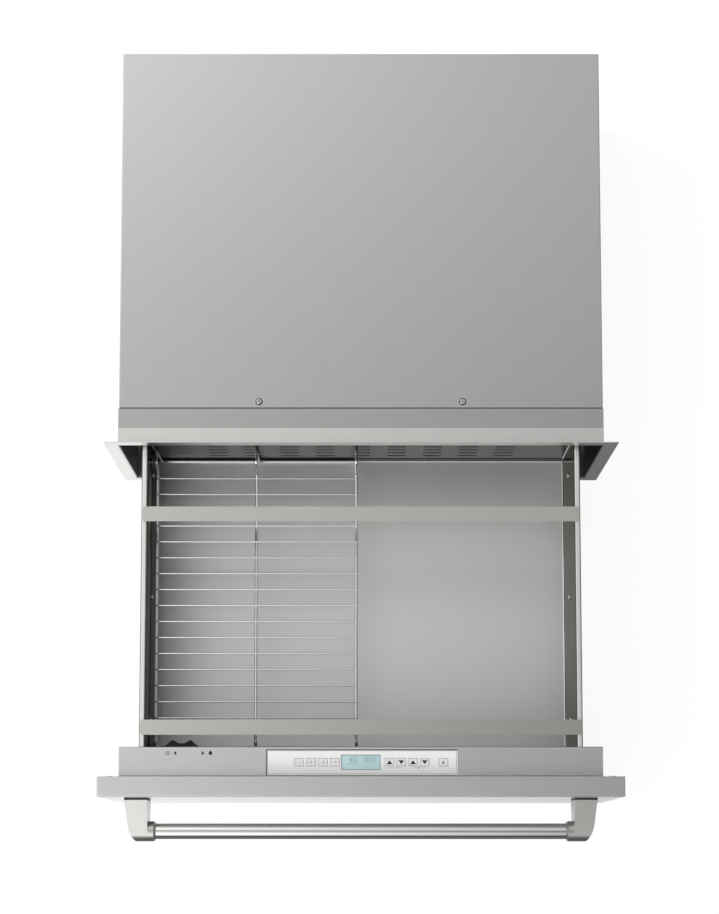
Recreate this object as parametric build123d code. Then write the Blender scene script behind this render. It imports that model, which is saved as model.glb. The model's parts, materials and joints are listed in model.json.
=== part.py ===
from build123d import *
import math
import os

os.makedirs("parts", exist_ok=True)

# A built-in warming drawer with its drawer pulled out. All sizes are in millimetres.
# X runs across, Y from the front (-) to the back (+), Z up.
# Origin: middle of the width, face of the cabinet (back of the trim flange), underside of the case.

# Case
case_width = 713.0  # over the wrapper
case_height = 232.0
case_sheet = 1.0
wrapper_lip = 12.0  # turned-down edge of the top cover, turned-up edge of the bottom panel
side_leg = 18.0  # turned-in edges of the side panels
back_leg = 12.0  # turned-forward edges of the back panel
wrapper_seam = 1.2  # open joint between the front ring and the wrapper
fold_radius = 0.6  # inside radius of the folds in thin sheet
tongue_room = 2.0  # side panel legs to the tongue of the front ring
run_past = 1.0  # how far cuts and fused shapes run past the face they meet

# Front ring and trim flange
ring_proud = 0.7  # stands out past the wrapper on each side
ring_depth = 54.0
ring_sheet = 1.2
tongue_length = 20.0  # set-in edge that the wrapper is screwed to
flange_side = 19.8  # beyond the front ring on each side
flange_rise = 18.0  # above the case
flange_drop = 18.0  # below the case
flange_sheet = 1.2
flange_leg = 24.5
flange_corner_radius = 3.0
side_hole_radius = 2.25  # fixing holes in the sides of the ring
side_hole_inset = 13.0  # behind the cabinet face
side_hole_spacing = 132.0
side_hole_low = 50.0

# Screws
screw_radius = 2.0
screw_head_radius = 4.0
screw_head_height = 2.0
screw_head_round = 0.8
screw_recess_radius = 1.3
screw_recess_depth = 1.1
cover_screw_spacing = 300.0
cover_screw_inset = 9.0  # behind the front edge of the cover
back_screw_inset = 9.5  # in from the edge of the back panel
back_screw_height = 28.0  # in from the top and the bottom of the case
cover_screw_length = 5.0
back_screw_length = 6.0
tab_screw_length = 5.0

# Runners: outer, middle and inner members with two ball cages on each side
travel = 485.0
runner_length = 480.0
runner_start = 20.0  # behind the cabinet face
runner_drop = 72.0  # middle of the runner below the rail
runner_width = 13.0
runner_sheet = 1.4
ball_radius = 1.7
ball_clearance = 0.3
inner_half_height = 12.0
inner_leg = 5.2  # reach of the legs of the inner member
race_overlap = 5.0  # how far the legs of the members reach over each other
cage_sheet = 0.6
cage_margin = 6.0
cage_leg_back = 1.5  # legs of the cage end before those of the members
balls_in_row = 10
ball_fit = 0.1
support_wall = 1.5
support_half_height = 26.0
support_width = 26.3  # side panel to the outer member of the runner

# Drawer
pan_length = 458.0  # inside, front to back
pan_height = 150.0  # floor to rail
rail_gap = 10.0  # rail below the top of the case
pan_sheet = 1.0
pan_fold_radius = 5.0
pan_rear_leg = 8.0
pan_wall_gap = 0.6  # front wall to the fold of the deck
side_sheet = 1.2
side_fold_radius = 1.2
foot_fold_radius = 0.25
pan_side_gap = 0.3  # pan edge to side sheet
rail_width = 8.8  # of the turned-out edge, over the side sheet
rail_lip = 5.0
side_foot = 12.0  # turned-in edge under the pan
side_tab_width = 24.0  # turned in front end that is screwed to the door
side_tab_inset = 16.0
tab_screw_inset = 32.0  # outer screws of the tab from the floor and the rail
sheet_fit = 0.1  # between sheets that lie in each other
runner_screw_front = 46.0  # first screw behind the front wall of the pan
runner_screw_rear = 41.0  # last screw before the back wall
louvre_groups = 9
louvre_rows = 5
louvre_pitch = 54.5
louvre_width = 28.5
louvre_height = 5.5
louvre_row_pitch = 20.2
louvre_low = 30.0  # first row over the pan floor

# Door
door_overhang = 2.5  # past the trim flange on each side
door_depth = 29.3
door_gap = 2.3  # door back to trim flange when shut
door_sheet = 1.2
door_edge_radius = 1.6
front_edge_share = 0.9  # radius of the front edges, as a share of the corner radius
insulation_gap = 0.3
bumper_radius = 5.0
bumper_gap = 0.3
bumper_inset_x = 11.5
bumper_inset_z = 30.0
bumper_edge = 0.5

# Handle
handle_height = 178.0  # over the underside of the case
handle_reach = 48.0  # door face to the middle of the bar
handle_bar_radius = 11.8
handle_inset = 33.5  # door edge to the bracket
handle_bracket_width = 34.0
handle_base_height = 56.0
handle_collar_length = 11.5
handle_collar_wall = 3.2  # round the bar
handle_collar_edge = 0.2  # of the wall left by the chamfer
handle_socket_depth = 10.0
handle_socket_fit = 0.05
handle_pad_depth = 3.0
handle_pad_inset = 0.8
handle_front_width = 18.0  # of the flat front end of the bracket
handle_side_taper = 7.0  # outer side swept in between the base and the bar
handle_screw_spacing = 34.0
handle_screw_length = 22.0
insulation_pocket_radius = 9.0
insulation_hole_radius = 4.0

# Control deck
deck_side_gap = 5.0  # to the inside of the front ring
deck_front_strip = 5.3  # in front of the control panel
deck_drop = 6.0  # below the top of the case
deck_sheet = 1.2
deck_fold_radius = 1.2  # inside
deck_front_skirt = 20.0
deck_rear_skirt = 12.0
deck_side_skirt = 30.0
deck_wing_inset = 3.6  # side wings to the front and the rear edge

# Control panel
panel_left_room = 38.8  # panel edge to the first mode key
panel_right_room = 11.8  # lock key to the panel edge
panel_length = 32.5
panel_inset = 6.5  # from the rear edge of the deck
panel_recess = 0.4
panel_plate = 2.8
panel_rim = 2.5
panel_gap = 0.2
key_width = 13.4
key_length = 11.4
key_proud = 0.3
key_gap = 0.25
key_rim = 0.7
key_rim_height = 1.0
key_rim_gap = 0.1
key_stem_radius = 2.0
key_travel = 0.6
key_stem_gap = 0.1
key_corner_radius = 1.0
mode_keys = 4
mode_key_spacing = 3.9  # between the keys
mode_key_window_gap = 2.4  # last mode key to the window
arrow_keys = ("left_up_key", "left_down_key", "right_up_key", "right_down_key")
arrow_key_spacing = 3.6
arrow_key_window_gap = 6.3
lock_key_spacing = 13.6  # last arrow key to the lock key
board_drop = 9.2  # underside of the panel to the top of the board
board_sheet = 1.6
board_inset_x = 16.5  # board to the ends of the panel
board_inset_y = 1.25
boss_radius = 2.5
boss_inset = 4.0
switch_size = 6.0
switch_height = 4.3
plunger_radius = 1.6
plunger_height = 0.7
window_width = 57.0
window_length = 22.0
window_sheet = 1.0
window_gap = 0.15
display_rim = 1.0
display_glass_gap = 0.1

# Moisture slider
slider_travel = 28.0
slider_length = 60.0
slider_height = 14.0
slider_reach = 13.0
slider_valley = 8.0  # reach between the humps
slider_shoulder = 5.6  # reach beside the humps
slider_round = 1.5
slider_level = 32.0  # middle of the knob below the rail
slider_hump_spacing = 26.5
slider_hump_radius = 9.0
slider_neck_length = 24.0
slider_neck_height = 6.0
slider_slot_gap = 1.0
shutter_sheet = 1.2
shutter_gap = 0.3
shutter_height = 74.0
shutter_rise = 6.0  # above the middle of the knob
shutter_margin = 1.0  # past the outermost vents
shutter_side_gap = 2.7  # to the side of the drawer
vent_slots = 4
vent_width = 5.0
vent_pitches_moved = 2.5  # a full stroke moves the shutter so many slots along, which closes them
vent_height = 28.0
vent_drop = 40.0  # middle of the vents below the knob

# Cross bars that lie on the rails
bar_width = 22.0
bar_sheet = 3.0
bar_end_gap = 2.3  # bar end to the edge of the rail
bar_corner_radius = 3.0
bar_rest_gap = 0.2
front_bar_inset = 29.5  # middle of the bar behind the front wall of the pan
rear_bar_inset = 114.5  # before the back wall

# Wire rack
rack_side_gap = 5.0  # outer long wire to the side of the pan
rack_middle_gap = 7.0  # inner long wire to the middle of the pan
rack_height = 62.0  # middle of the long wires over the pan floor
long_wire_radius = 2.5
cross_wire_radius = 1.25
cross_wires = 17
cross_wire_front_gap = 16.2  # last cross wire to the front feet
cross_wire_rear_gap = 39.5  # first cross wire to the rear feet
weld_depth = 0.4
cross_wire_overhang = 1.25  # past the middle of the outer long wires
rack_front_gap = 9.5  # feet to the walls of the pan
rack_rear_gap = 4.0
rack_stop_height = 21.0
rack_dip = 15.0  # run of the sloping part at the back
rack_slope_gap = 5.0  # last cross wire to the sloping part
rack_bend_radius = 6.5
rack_foot_gap = 0.3

# Heating
floor_insulation_height = 20.0
heater_width = 604.0
heater_sheet = 0.8
heater_edge = 19.0
heater_gap = 8.0  # behind the tongue of the front ring
element_radius = 3.3
element_height = 14.0  # middle of the rod over the tray
element_half_width = 240.0
element_inner_half = 90.0
element_end_half = 50.0
element_front_margin = 48.0  # front edge of the tray to the front loops
element_return_margin = 112.5  # middle crossing to the baffle
element_cross_margin = 42.5  # rear crossing to the baffle
element_bend_radius = 28.0
element_tail = 22.0
clip_width = 12.0
clip_sheet = 4.0
clip_fit = 0.05
clip_top = 2.0  # over the rod
clip_inset = 67.5  # from the bends of the rod
rod_hole_radius = 5.0
baffle_gap = 6.0
baffle_sheet = 1.0
baffle_half_width = 310.0
baffle_foot = 15.0
baffle_top_gap = 5.0
bush_radius = 7.0
bush_length = 12.0
probe_place = -150.0
probe_radius = 3.0
probe_tip_share = 0.8  # roundness of the tip, as a share of the radius
probe_reach = 38.0
probe_gap = 9.8  # middle of the probe below the foot of the drawer
probe_nut_radius = 6.5
probe_nut_height = 5.0

# Electrics behind the baffle
electrics_depth = 83.5  # front of the baffle to the back of the case
supply_board_width = 150.0
supply_board_height = 110.0
supply_board_left = 60.0
supply_board_bottom = 45.0
supply_post_length = 10.0
supply_post_radius = 3.0
supply_post_inset = 8.0
relay_width = 22.0
relay_height = 28.0
relay_depth = 16.0
relay_pitch = 31.0
transformer_width = 44.0
transformer_height = 55.0
transformer_depth = 25.0
transformer_inset = 16.0
terminal_width = 62.0
terminal_height = 26.0
terminal_depth = 22.0
terminal_place = -110.0
terminal_bottom = 40.0
terminal_ways = 3
terminal_hole_radius = 4.5
terminal_hole_depth = 9.0
terminal_hole_inset = 7.3
terminal_wall = 1.6
terminal_wall_proud = 3.0
gland_place = -200.0
gland_height = 60.0
gland_hole_radius = 11.0
gland_rim_radius = 15.0
gland_rim = 4.0
gland_bore_radius = 6.0
gland_fit = 0.05
gland_edge = 1.0
back_vent_columns = 5
back_vent_rows = 4
back_vent_length = 40.0
back_vent_height = 4.0
back_vent_pitch_x = 52.0
back_vent_pitch_z = 14.0
back_vent_left = 40.0
back_vent_low = 130.0

# Levels and planes that follow from the sizes
case_half = case_width / 2
side_outer = case_half - case_sheet
side_inner = side_outer - case_sheet
cover_front = ring_depth + wrapper_seam
case_roof = case_height - case_sheet
ring_half = case_half + ring_proud
opening_half = ring_half - ring_sheet
flange_half = ring_half + flange_side
door_half = flange_half + door_overhang
tongue_end = ring_depth + tongue_length
support_start = tongue_end + tongue_room
heater_start = tongue_end + heater_gap
rail_top = case_height - rail_gap
runner_height = rail_top - runner_drop
floor_top = rail_top - pan_height
floor_under = floor_top - pan_sheet
runner_wall = side_inner - support_width
side_face = runner_wall - runner_width
pan_half = side_face - side_sheet
rail_edge = side_face + rail_width - side_sheet
foot_under = floor_under - side_sheet
door_back = -(flange_sheet + door_gap + travel)
door_front = door_back - door_depth
door_bottom = -flange_drop
door_top = case_height + flange_rise
deck_half = opening_half - deck_side_gap
deck_rear = door_back + deck_front_strip + panel_length + panel_inset
deck_top = case_height - deck_drop
deck_under = deck_top - deck_sheet
pan_front = deck_rear - deck_sheet - sheet_fit
pan_rear = pan_front + pan_length
pan_rear_shut = pan_rear + pan_sheet + pan_rear_leg + travel
handle_inner_half = door_half - handle_inset - handle_bracket_width
handle_end_radius = handle_bar_radius + handle_collar_wall
bar_axis_y = door_front - handle_reach
ball_gap = 2 * (ball_radius + ball_clearance)
middle_half_height = inner_half_height + ball_gap + runner_sheet
outer_half_height = middle_half_height + ball_gap + runner_sheet
cage_play = (runner_width - 2 * runner_sheet - 2 * cage_sheet - inner_leg) / 4
middle_wall = runner_wall - runner_sheet - 2 * cage_play - cage_sheet
cage_length = runner_length - travel / 2 - 2 * cage_margin
tray_floor = case_sheet + floor_insulation_height + heater_sheet
element_axis = tray_floor + element_height
baffle_front = pan_rear_shut + baffle_gap
case_depth = baffle_front + electrics_depth
element_front = heater_start + element_front_margin
element_return = baffle_front - element_return_margin
element_cross = baffle_front - element_cross_margin
probe_height = foot_under - probe_gap
mode_key_pitch = key_width + mode_key_spacing
mode_key_last = -(window_width + key_width) / 2 - mode_key_window_gap
mode_key_first = mode_key_last - (mode_keys - 1) * mode_key_pitch
arrow_key_pitch = key_width + arrow_key_spacing
arrow_key_first = (window_width + key_width) / 2 + arrow_key_window_gap
arrow_key_last = arrow_key_first + (len(arrow_keys) - 1) * arrow_key_pitch
lock_key_place = arrow_key_last + key_width + lock_key_spacing
panel_left = mode_key_first - key_width / 2 - panel_left_room
panel_right = lock_key_place + key_width / 2 + panel_right_room
panel_top = deck_top - panel_recess
panel_under = panel_top - panel_plate
panel_rear = deck_rear - panel_inset
panel_middle_y = panel_rear - panel_length / 2
board_top = panel_under - board_drop
board_width = panel_right - panel_left - 2 * board_inset_x
board_length = panel_length - 2 * board_inset_y
slider_axis = rail_top - slider_level
vent_pitch = slider_travel / vent_pitches_moved
vent_half_span = (vent_pitch * (vent_slots - 1) + vent_width) / 2
slider_place = vent_half_span + shutter_margin + slider_travel + shutter_side_gap - pan_half
front_bar_place = pan_front + front_bar_inset
rear_bar_place = pan_rear - rear_bar_inset
rack_left = rack_side_gap - pan_half
rack_pitch = (-rack_middle_gap - rack_left) / 2
rack_front = pan_front + rack_front_gap
rack_rear = pan_rear - rack_rear_gap
cross_wire_first = rack_rear - cross_wire_rear_gap
cross_wire_pitch = (cross_wire_first - rack_front - cross_wire_front_gap) / (cross_wires - 1)
rack_axis = floor_top + rack_height


# A block between two corners.
def block(x0, x1, y0, y1, z0, z1):
    middle = Pos((x0 + x1) / 2, (y0 + y1) / 2, (z0 + z1) / 2)
    return middle * Box(x1 - x0, y1 - y0, z1 - z0)


# A round rod between two points.
def rod(start, end, radius):
    run = Vector(*end) - Vector(*start)
    return extrude(Plane(origin=start, z_dir=run) * Circle(radius), amount=run.length)


# Section of a folded sheet: the outline is one face of the sheet and the sheet lies on its left.
# The radius is that of the outline's corners, one for all or one for each.
def sheet_section(outline, sheet, radius):
    path = FilletPolyline(*outline, radius=radius)
    return make_face(offset(path, sheet, side=Side.LEFT))


# Sheet folded along an outside outline of (x, z) points, running from y0 to y1.
def folded_along_y(outline, sheet, inside_radius, y0, y1):
    section = sheet_section(outline, sheet, inside_radius + sheet)
    return extrude(Plane.XZ.offset(-y1) * section, amount=y1 - y0)


# Sheet folded along an outside outline of (y, z) points, running from x0 to x1.
def folded_along_x(outline, sheet, inside_radius, x0, x1):
    section = sheet_section(outline, sheet, inside_radius + sheet)
    return extrude(Plane.YZ.offset(x0) * section, amount=x1 - x0)


# A wire or a tube bent along a route of points.
def bent_rod(points, bend_radius, radius):
    route = FilletPolyline(*points, radius=bend_radius)
    return sweep(Plane(origin=route @ 0, z_dir=route % 0) * Circle(radius), path=route)


# A rectangular band around the Y axis, open at both ends.
def band(half_width, low, high, sheet, y0, y1):
    outside = block(-half_width, half_width, y0, y1, low, high)
    inside = block(sheet - half_width, half_width - sheet, y0, y1, low + sheet, high - sheet)
    return outside - inside


# Pan-head screw along an axis: the head stands on the start point and the shank goes on from it.
def screw(place, direction, length):
    seat = Plane(origin=place, z_dir=[-part for part in direction])
    head = extrude(seat * Circle(screw_head_radius), amount=screw_head_height)
    head = fillet(head.edges().sort_by(Axis(seat.origin, seat.z_dir))[-1], screw_head_round)
    shank = extrude(seat * Circle(screw_radius), amount=-length)
    recess = extrude(
        seat.offset(screw_head_height) * RegularPolygon(screw_recess_radius, 4), amount=-screw_recess_depth
    )
    return head + shank - recess


# Round holes about the seats of screws, right through sheets as thick as given.
def holes_along(places, direction, radius, sheets):
    holes = []
    for place in places:
        seat = Plane(origin=place, z_dir=direction)
        holes.append(extrude(seat * Circle(radius), amount=sheets + run_past, both=True))
    return holes


def cover_screw_places():
    y = cover_front + cover_screw_inset
    return [(side * cover_screw_spacing / 2, y, case_height) for side in (-1, 1)]


def back_screw_places():
    x = side_outer - back_screw_inset
    levels = (back_screw_height, case_height - back_screw_height)
    return [(side * x, case_depth, z) for side in (-1, 1) for z in levels]


def back_vents():
    slots = []
    for column in range(back_vent_columns):
        for row in range(back_vent_rows):
            x = back_vent_left + column * back_vent_pitch_x
            z = back_vent_low + row * back_vent_pitch_z
            slot = Pos(x, z) * SlotOverall(back_vent_length, back_vent_height)
            slots.append(extrude(Plane.XZ.offset(-case_depth) * slot, amount=back_leg, both=True))
    return slots


def make_top_cover():
    lip_end = case_height - wrapper_lip
    outline = [
        (case_half, lip_end),
        (case_half, case_height),
        (-case_half, case_height),
        (-case_half, lip_end),
    ]
    cover = folded_along_y(outline, case_sheet, fold_radius, cover_front, case_depth)
    return cover - holes_along(cover_screw_places(), (0, 0, 1), screw_radius + sheet_fit, case_sheet)


def make_bottom_panel():
    outline = [(-case_half, wrapper_lip), (-case_half, 0), (case_half, 0), (case_half, wrapper_lip)]
    return folded_along_y(outline, case_sheet, fold_radius, cover_front, case_depth)


# The side panel is a channel. Its legs stop behind the tongue of the ring, and a rear tab takes the back
# screws.
def make_side_panel():
    leg_end = side_outer - side_leg
    outline = [
        (leg_end, case_sheet),
        (side_outer, case_sheet),
        (side_outer, case_roof),
        (leg_end, case_roof),
    ]
    rear = case_depth - case_sheet
    panel = folded_along_y(outline, case_sheet, fold_radius, cover_front, rear)
    panel -= block(leg_end - run_past, side_inner, cover_front, tongue_end + tongue_room, 0, case_height)
    panel += block(leg_end, side_inner, rear - case_sheet, rear, 2 * case_sheet, case_roof - case_sheet)
    return panel - holes_along(back_screw_places(), (0, 1, 0), screw_radius + sheet_fit, 2 * case_sheet)


def make_back_panel():
    leg_front = case_depth - back_leg
    leg_half = side_outer - side_leg - 2 * case_sheet
    outline = [
        (leg_front, case_sheet),
        (case_depth, case_sheet),
        (case_depth, case_roof),
        (leg_front, case_roof),
    ]
    panel = folded_along_x(outline, case_sheet, fold_radius, -leg_half, leg_half)
    front = case_depth - case_sheet
    panel += block(-side_outer, side_outer, front, case_depth, 2 * case_sheet, case_roof - case_sheet)
    panel -= holes_along(back_screw_places(), (0, 1, 0), screw_radius + sheet_fit, case_sheet)
    gland = (gland_place, case_depth, gland_height)
    panel -= holes_along([gland], (0, 1, 0), gland_hole_radius, case_sheet)
    return panel - back_vents()


# The front edge of the ring ends at the opening of the trim flange, whose leg lies on it.
def make_front_ring():
    ring = band(ring_half, 0, case_height, ring_sheet, 0, ring_depth)
    step = block(-ring_half, ring_half, ring_depth - ring_sheet, ring_depth, 0, case_height)
    inside = side_inner - ring_sheet
    low = case_sheet + ring_sheet
    high = case_roof - ring_sheet
    step -= block(-inside, inside, 0, ring_depth + run_past, low, high)
    tongue = band(side_inner, case_sheet, case_roof, ring_sheet, ring_depth - ring_sheet, tongue_end)
    ring = ring + step + tongue
    ring -= holes_along(cover_screw_places(), (0, 0, 1), screw_radius, case_sheet + ring_sheet)
    levels = (side_hole_low, side_hole_low + side_hole_spacing)
    side_holes = [(side * ring_half, side_hole_inset, z) for side in (-1, 1) for z in levels]
    return ring - holes_along(side_holes, (1, 0, 0), side_hole_radius, ring_sheet)


def make_trim_flange():
    height = door_top - door_bottom
    middle = (door_top + door_bottom) / 2
    face = Pos(0, middle) * RectangleRounded(2 * flange_half, height, flange_corner_radius)
    face -= Pos(0, case_height / 2) * Rectangle(2 * ring_half, case_height)
    plate = extrude(Plane.XZ * face, amount=flange_sheet)
    leg_top = case_height + flange_sheet
    leg = block(-ring_half, ring_half, -flange_sheet / 2, flange_leg, case_height, leg_top)
    return plate + leg


# Channel between the side panel and the outer member of the runner.
def make_runner_support():
    low = runner_height - support_half_height
    high = runner_height + support_half_height
    outline = [(runner_wall, high), (runner_wall, low), (side_inner, low), (side_inner, high)]
    return folded_along_y(outline, support_wall, support_wall, support_start, runner_start + runner_length)


# A runner member: a web at web_face with two legs that reach towards the drawer.
def runner_member(web_face, leg_end, half_height, start):
    high = runner_height + half_height
    low = runner_height - half_height
    outline = [(leg_end, low), (web_face, low), (web_face, high), (leg_end, high)]
    return folded_along_y(outline, runner_sheet, runner_sheet, start, start + runner_length)


def make_runner_outer():
    leg_end = middle_wall - runner_sheet - race_overlap
    return runner_member(runner_wall, leg_end, outer_half_height, runner_start)


def make_runner_middle():
    leg_end = middle_wall - runner_sheet - race_overlap
    return runner_member(middle_wall, leg_end, middle_half_height, runner_start - travel / 2)


def make_runner_inner():
    start = runner_start - travel
    high = runner_height + inner_half_height
    low = runner_height - inner_half_height
    leg_end = side_face + inner_leg
    outline = [(leg_end, high), (side_face, high), (side_face, low), (leg_end, low)]
    member = folded_along_y(outline, runner_sheet, runner_sheet, start, start + runner_length)
    return member - holes_along(runner_screw_places(), (1, 0, 0), screw_radius, side_sheet + runner_sheet)


# A bent strip with two rows of loose balls between the legs of two members.
def make_ball_cage(web_face, half_height, start):
    row = half_height + ball_gap / 2
    leg_end = web_face - cage_sheet - race_overlap + cage_leg_back
    outline = [
        (leg_end, runner_height - row - cage_sheet / 2),
        (web_face, runner_height - row - cage_sheet / 2),
        (web_face, runner_height + row + cage_sheet / 2),
        (leg_end, runner_height + row + cage_sheet / 2),
    ]
    strip = folded_along_y(outline, cage_sheet, cage_sheet / 2, start, start + cage_length)
    ball_x = (leg_end + web_face - cage_sheet) / 2
    pitch = cage_length / balls_in_row
    balls = []
    holes = []
    for side in (-1, 1):
        for number in range(balls_in_row):
            place = Pos(ball_x, start + (number + 0.5) * pitch, runner_height + side * row)
            balls.append(place * Sphere(ball_radius))
            holes.append(place * Cylinder(ball_radius + ball_fit, 2 * ball_radius))
    return [strip - holes] + balls


def make_outer_cage():
    web_face = runner_wall - runner_sheet - cage_play
    return make_ball_cage(web_face, middle_half_height, runner_start + cage_margin)


def make_inner_cage():
    start = runner_start - travel / 2 + cage_margin
    return make_ball_cage(middle_wall - runner_sheet - cage_play, inner_half_height, start)


def runner_screw_places():
    first = pan_front + runner_screw_front
    last = pan_rear - runner_screw_rear
    return [(pan_half, y, runner_height) for y in (first, (first + last) / 2, last)]


def tab_screw_places():
    x = pan_half - side_tab_width / 2
    low = floor_top + tab_screw_inset
    high = rail_top - tab_screw_inset
    return [(x, door_back + side_sheet, z) for z in (low, (low + high) / 2, high)]


# The side carries the rail on top, a foot under the pan and a tab at the door. Its front end is cut low
# enough for the skirts of the deck.
def make_drawer_side():
    rear = pan_rear + pan_sheet
    rail_under = rail_top - side_sheet
    lip_inside = rail_edge - side_sheet
    outline = [
        (pan_half - side_foot, foot_under),
        (side_face, foot_under),
        (side_face, rail_under),
        (lip_inside, rail_under),
        (lip_inside, rail_top - rail_lip),
    ]
    radii = [foot_fold_radius + side_sheet, side_fold_radius, side_fold_radius]
    section = sheet_section(outline, side_sheet, radii)
    side = extrude(Plane.XZ.offset(-rear) * section, amount=rear - door_back)
    tab_low = floor_top + side_tab_inset
    tab_high = rail_top - side_tab_inset - side_sheet
    tab_rear = door_back + side_sheet
    side += block(pan_half - side_tab_width, side_face, door_back, tab_rear, tab_low, tab_high)
    front_top = deck_top - max(deck_front_skirt, deck_rear_skirt) - sheet_fit
    side -= block(0, case_width, door_back - run_past, deck_rear + sheet_fit, front_top, case_height)
    side -= holes_along(runner_screw_places(), (1, 0, 0), screw_radius, side_sheet)
    return side - holes_along(tab_screw_places(), (0, 1, 0), screw_radius, side_sheet)


def louvres():
    slots = []
    for group in range(louvre_groups):
        for row in range(louvre_rows):
            x = (group - (louvre_groups - 1) / 2) * louvre_pitch
            z = floor_top + louvre_low + row * louvre_row_pitch
            slot = Plane.XZ.offset(-pan_rear) * Pos(x, z) * SlotOverall(louvre_width, louvre_height)
            slots.append(extrude(slot, amount=pan_sheet * 2, both=True))
    return slots


# Upright vents under the knob, in the front wall (y0 to y1) and in the shutter behind it.
def vent_cuts(margin, y0, y1):
    low = slider_axis - vent_drop - vent_height / 2
    cuts = []
    for number in range(vent_slots):
        x0 = slider_place - vent_half_span + number * vent_pitch + margin
        x1 = x0 + vent_width - 2 * margin
        cuts.append(block(x0, x1, y0 - run_past, y1 + run_past, low, low + vent_height))
    return cuts


# One folded sheet: front wall, floor, louvred back wall and a leg at the top of the back.
def make_drawer_pan():
    front = pan_front - pan_sheet
    rear = pan_rear + pan_sheet
    half = pan_half - pan_side_gap
    wall_top = deck_under - deck_fold_radius - pan_wall_gap
    outline = [(front, wall_top), (front, floor_under), (rear, floor_under), (rear, rail_top)]
    pan = folded_along_x(outline, pan_sheet, pan_fold_radius, -half, half)
    pan += block(-half, half, pan_rear, rear + pan_rear_leg, rail_top - pan_sheet, rail_top)
    pan -= louvres()
    slot_low = slider_axis - slider_neck_height / 2 - slider_slot_gap
    slot_high = slider_axis + slider_neck_height / 2 + slider_slot_gap
    slot_left = slider_place - slider_neck_length / 2 - slider_slot_gap
    slot_right = slider_place + slider_neck_length / 2 + slider_slot_gap + slider_travel
    pan -= block(slot_left, slot_right, front - run_past, pan_front + run_past, slot_low, slot_high)
    return pan - vent_cuts(0, front, pan_front)


def make_door_skin():
    shell = block(-door_half, door_half, door_front, door_back, door_bottom, door_top)
    shell = fillet(shell.edges().filter_by(Axis.Y), door_edge_radius)
    shell = fillet(shell.faces().sort_by(Axis.Y)[0].edges(), door_edge_radius * front_edge_share)
    hollow = block(
        door_sheet - door_half,
        door_half - door_sheet,
        door_front + door_sheet,
        door_back + run_past,
        door_bottom + door_sheet,
        door_top - door_sheet,
    )
    return shell - hollow - holes_along(handle_screw_places(), (0, 1, 0), screw_radius, door_sheet)


def make_door_back_plate():
    half = door_half - door_sheet - sheet_fit
    low = door_bottom + door_sheet + sheet_fit
    high = door_top - door_sheet - sheet_fit
    plate = block(-half, half, door_back - door_sheet, door_back, low, high)
    both = tab_screw_places() + [(-x, y, z) for x, y, z in tab_screw_places()]
    return plate - holes_along(both, (0, 1, 0), screw_radius, side_sheet + door_sheet)


def make_door_insulation():
    inset = door_sheet + insulation_gap
    half = door_half - inset
    front = door_front + inset
    rear = door_back - inset
    slab = block(-half, half, front, rear, door_bottom + inset, door_top - inset)
    pocket = screw_head_height + 2 * insulation_gap
    for x, y, z in handle_screw_places():
        slab -= rod((x, front - run_past, z), (x, front + pocket, z), insulation_pocket_radius)
    for x, y, z in tab_screw_places():
        for side in (-1, 1):
            mouth = (side * x, rear + run_past, z)
            slab -= rod(mouth, (side * x, rear - tab_screw_length, z), insulation_hole_radius)
    return slab


def make_door_bumpers():
    thickness = door_gap - bumper_gap
    half = flange_half - bumper_inset_x
    pads = []
    for side in (-1, 1):
        for z in (door_bottom + bumper_inset_z, door_top - bumper_inset_z):
            pad = rod((side * half, door_back, z), (side * half, door_back + thickness, z), bumper_radius)
            pads.append(chamfer(pad.edges().sort_by(Axis.Y)[-1], bumper_edge))
    return pads


def handle_screw_places():
    x = handle_inner_half + handle_bracket_width / 2
    places = []
    for side in (-1, 1):
        for step in (-0.5, 0.5):
            z = handle_height + step * handle_screw_spacing
            places.append((side * x, door_front + door_sheet, z))
    return places


def base_corners(inset):
    half = handle_base_height / 2 - inset
    return handle_height - half, handle_height + half


# The bracket is the meeting of its side outline and its outline from above, with a collar round the bar.
def make_handle_bracket():
    base = door_front - handle_pad_depth
    low, high = base_corners(0)
    inner = handle_inner_half
    outer = inner + handle_bracket_width
    tip = bar_axis_y - handle_end_radius
    # side outline in (y, z): the tangent lines run from the base corners to the round end
    rise = math.hypot(base - bar_axis_y, high - handle_height)
    lean = math.atan2(high - handle_height, base - bar_axis_y) + math.acos(handle_end_radius / rise)
    touch_y = bar_axis_y + handle_end_radius * math.cos(lean)
    touch_z = handle_end_radius * math.sin(lean)
    edge = Polyline(
        (touch_y, handle_height - touch_z), (base, low), (base, high), (touch_y, handle_height + touch_z)
    )
    nose = ThreePointArc(
        (touch_y, handle_height + touch_z), (tip, handle_height), (touch_y, handle_height - touch_z)
    )
    side_form = extrude(Plane.YZ.offset(inner) * make_face([edge, nose]), amount=handle_bracket_width)
    # outline from above in (x, y): straight inside, swept in towards the front outside
    front_edge = inner + handle_front_width
    outside = Spline(
        (outer, base),
        (outer - handle_side_taper / 2, (base + bar_axis_y) / 2),
        (outer - handle_side_taper, bar_axis_y),
        (front_edge, tip),
    )
    rest = Polyline((front_edge, tip), (inner, tip), (inner, base), (outer, base))
    height = handle_base_height + 2 * run_past
    top_form = extrude(Pos(0, 0, low - run_past) * make_face([outside, rest]), amount=height)
    body = side_form & top_form
    collar_end = inner - handle_collar_length
    start = (collar_end, bar_axis_y, handle_height)
    collar = rod(start, (inner + run_past, bar_axis_y, handle_height), handle_end_radius)
    taper = handle_collar_wall - handle_socket_fit - handle_collar_edge
    collar = chamfer(collar.edges().sort_by(Axis.X)[0], taper)
    body = body + collar
    bore = handle_bar_radius + handle_socket_fit
    end = inner + handle_socket_depth
    body -= rod((collar_end - run_past, bar_axis_y, handle_height), (end, bar_axis_y, handle_height), bore)
    for x, y, z in handle_screw_places():
        body -= rod((x, base + run_past, z), (x, base - handle_screw_length, z), screw_radius)
    return body


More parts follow.
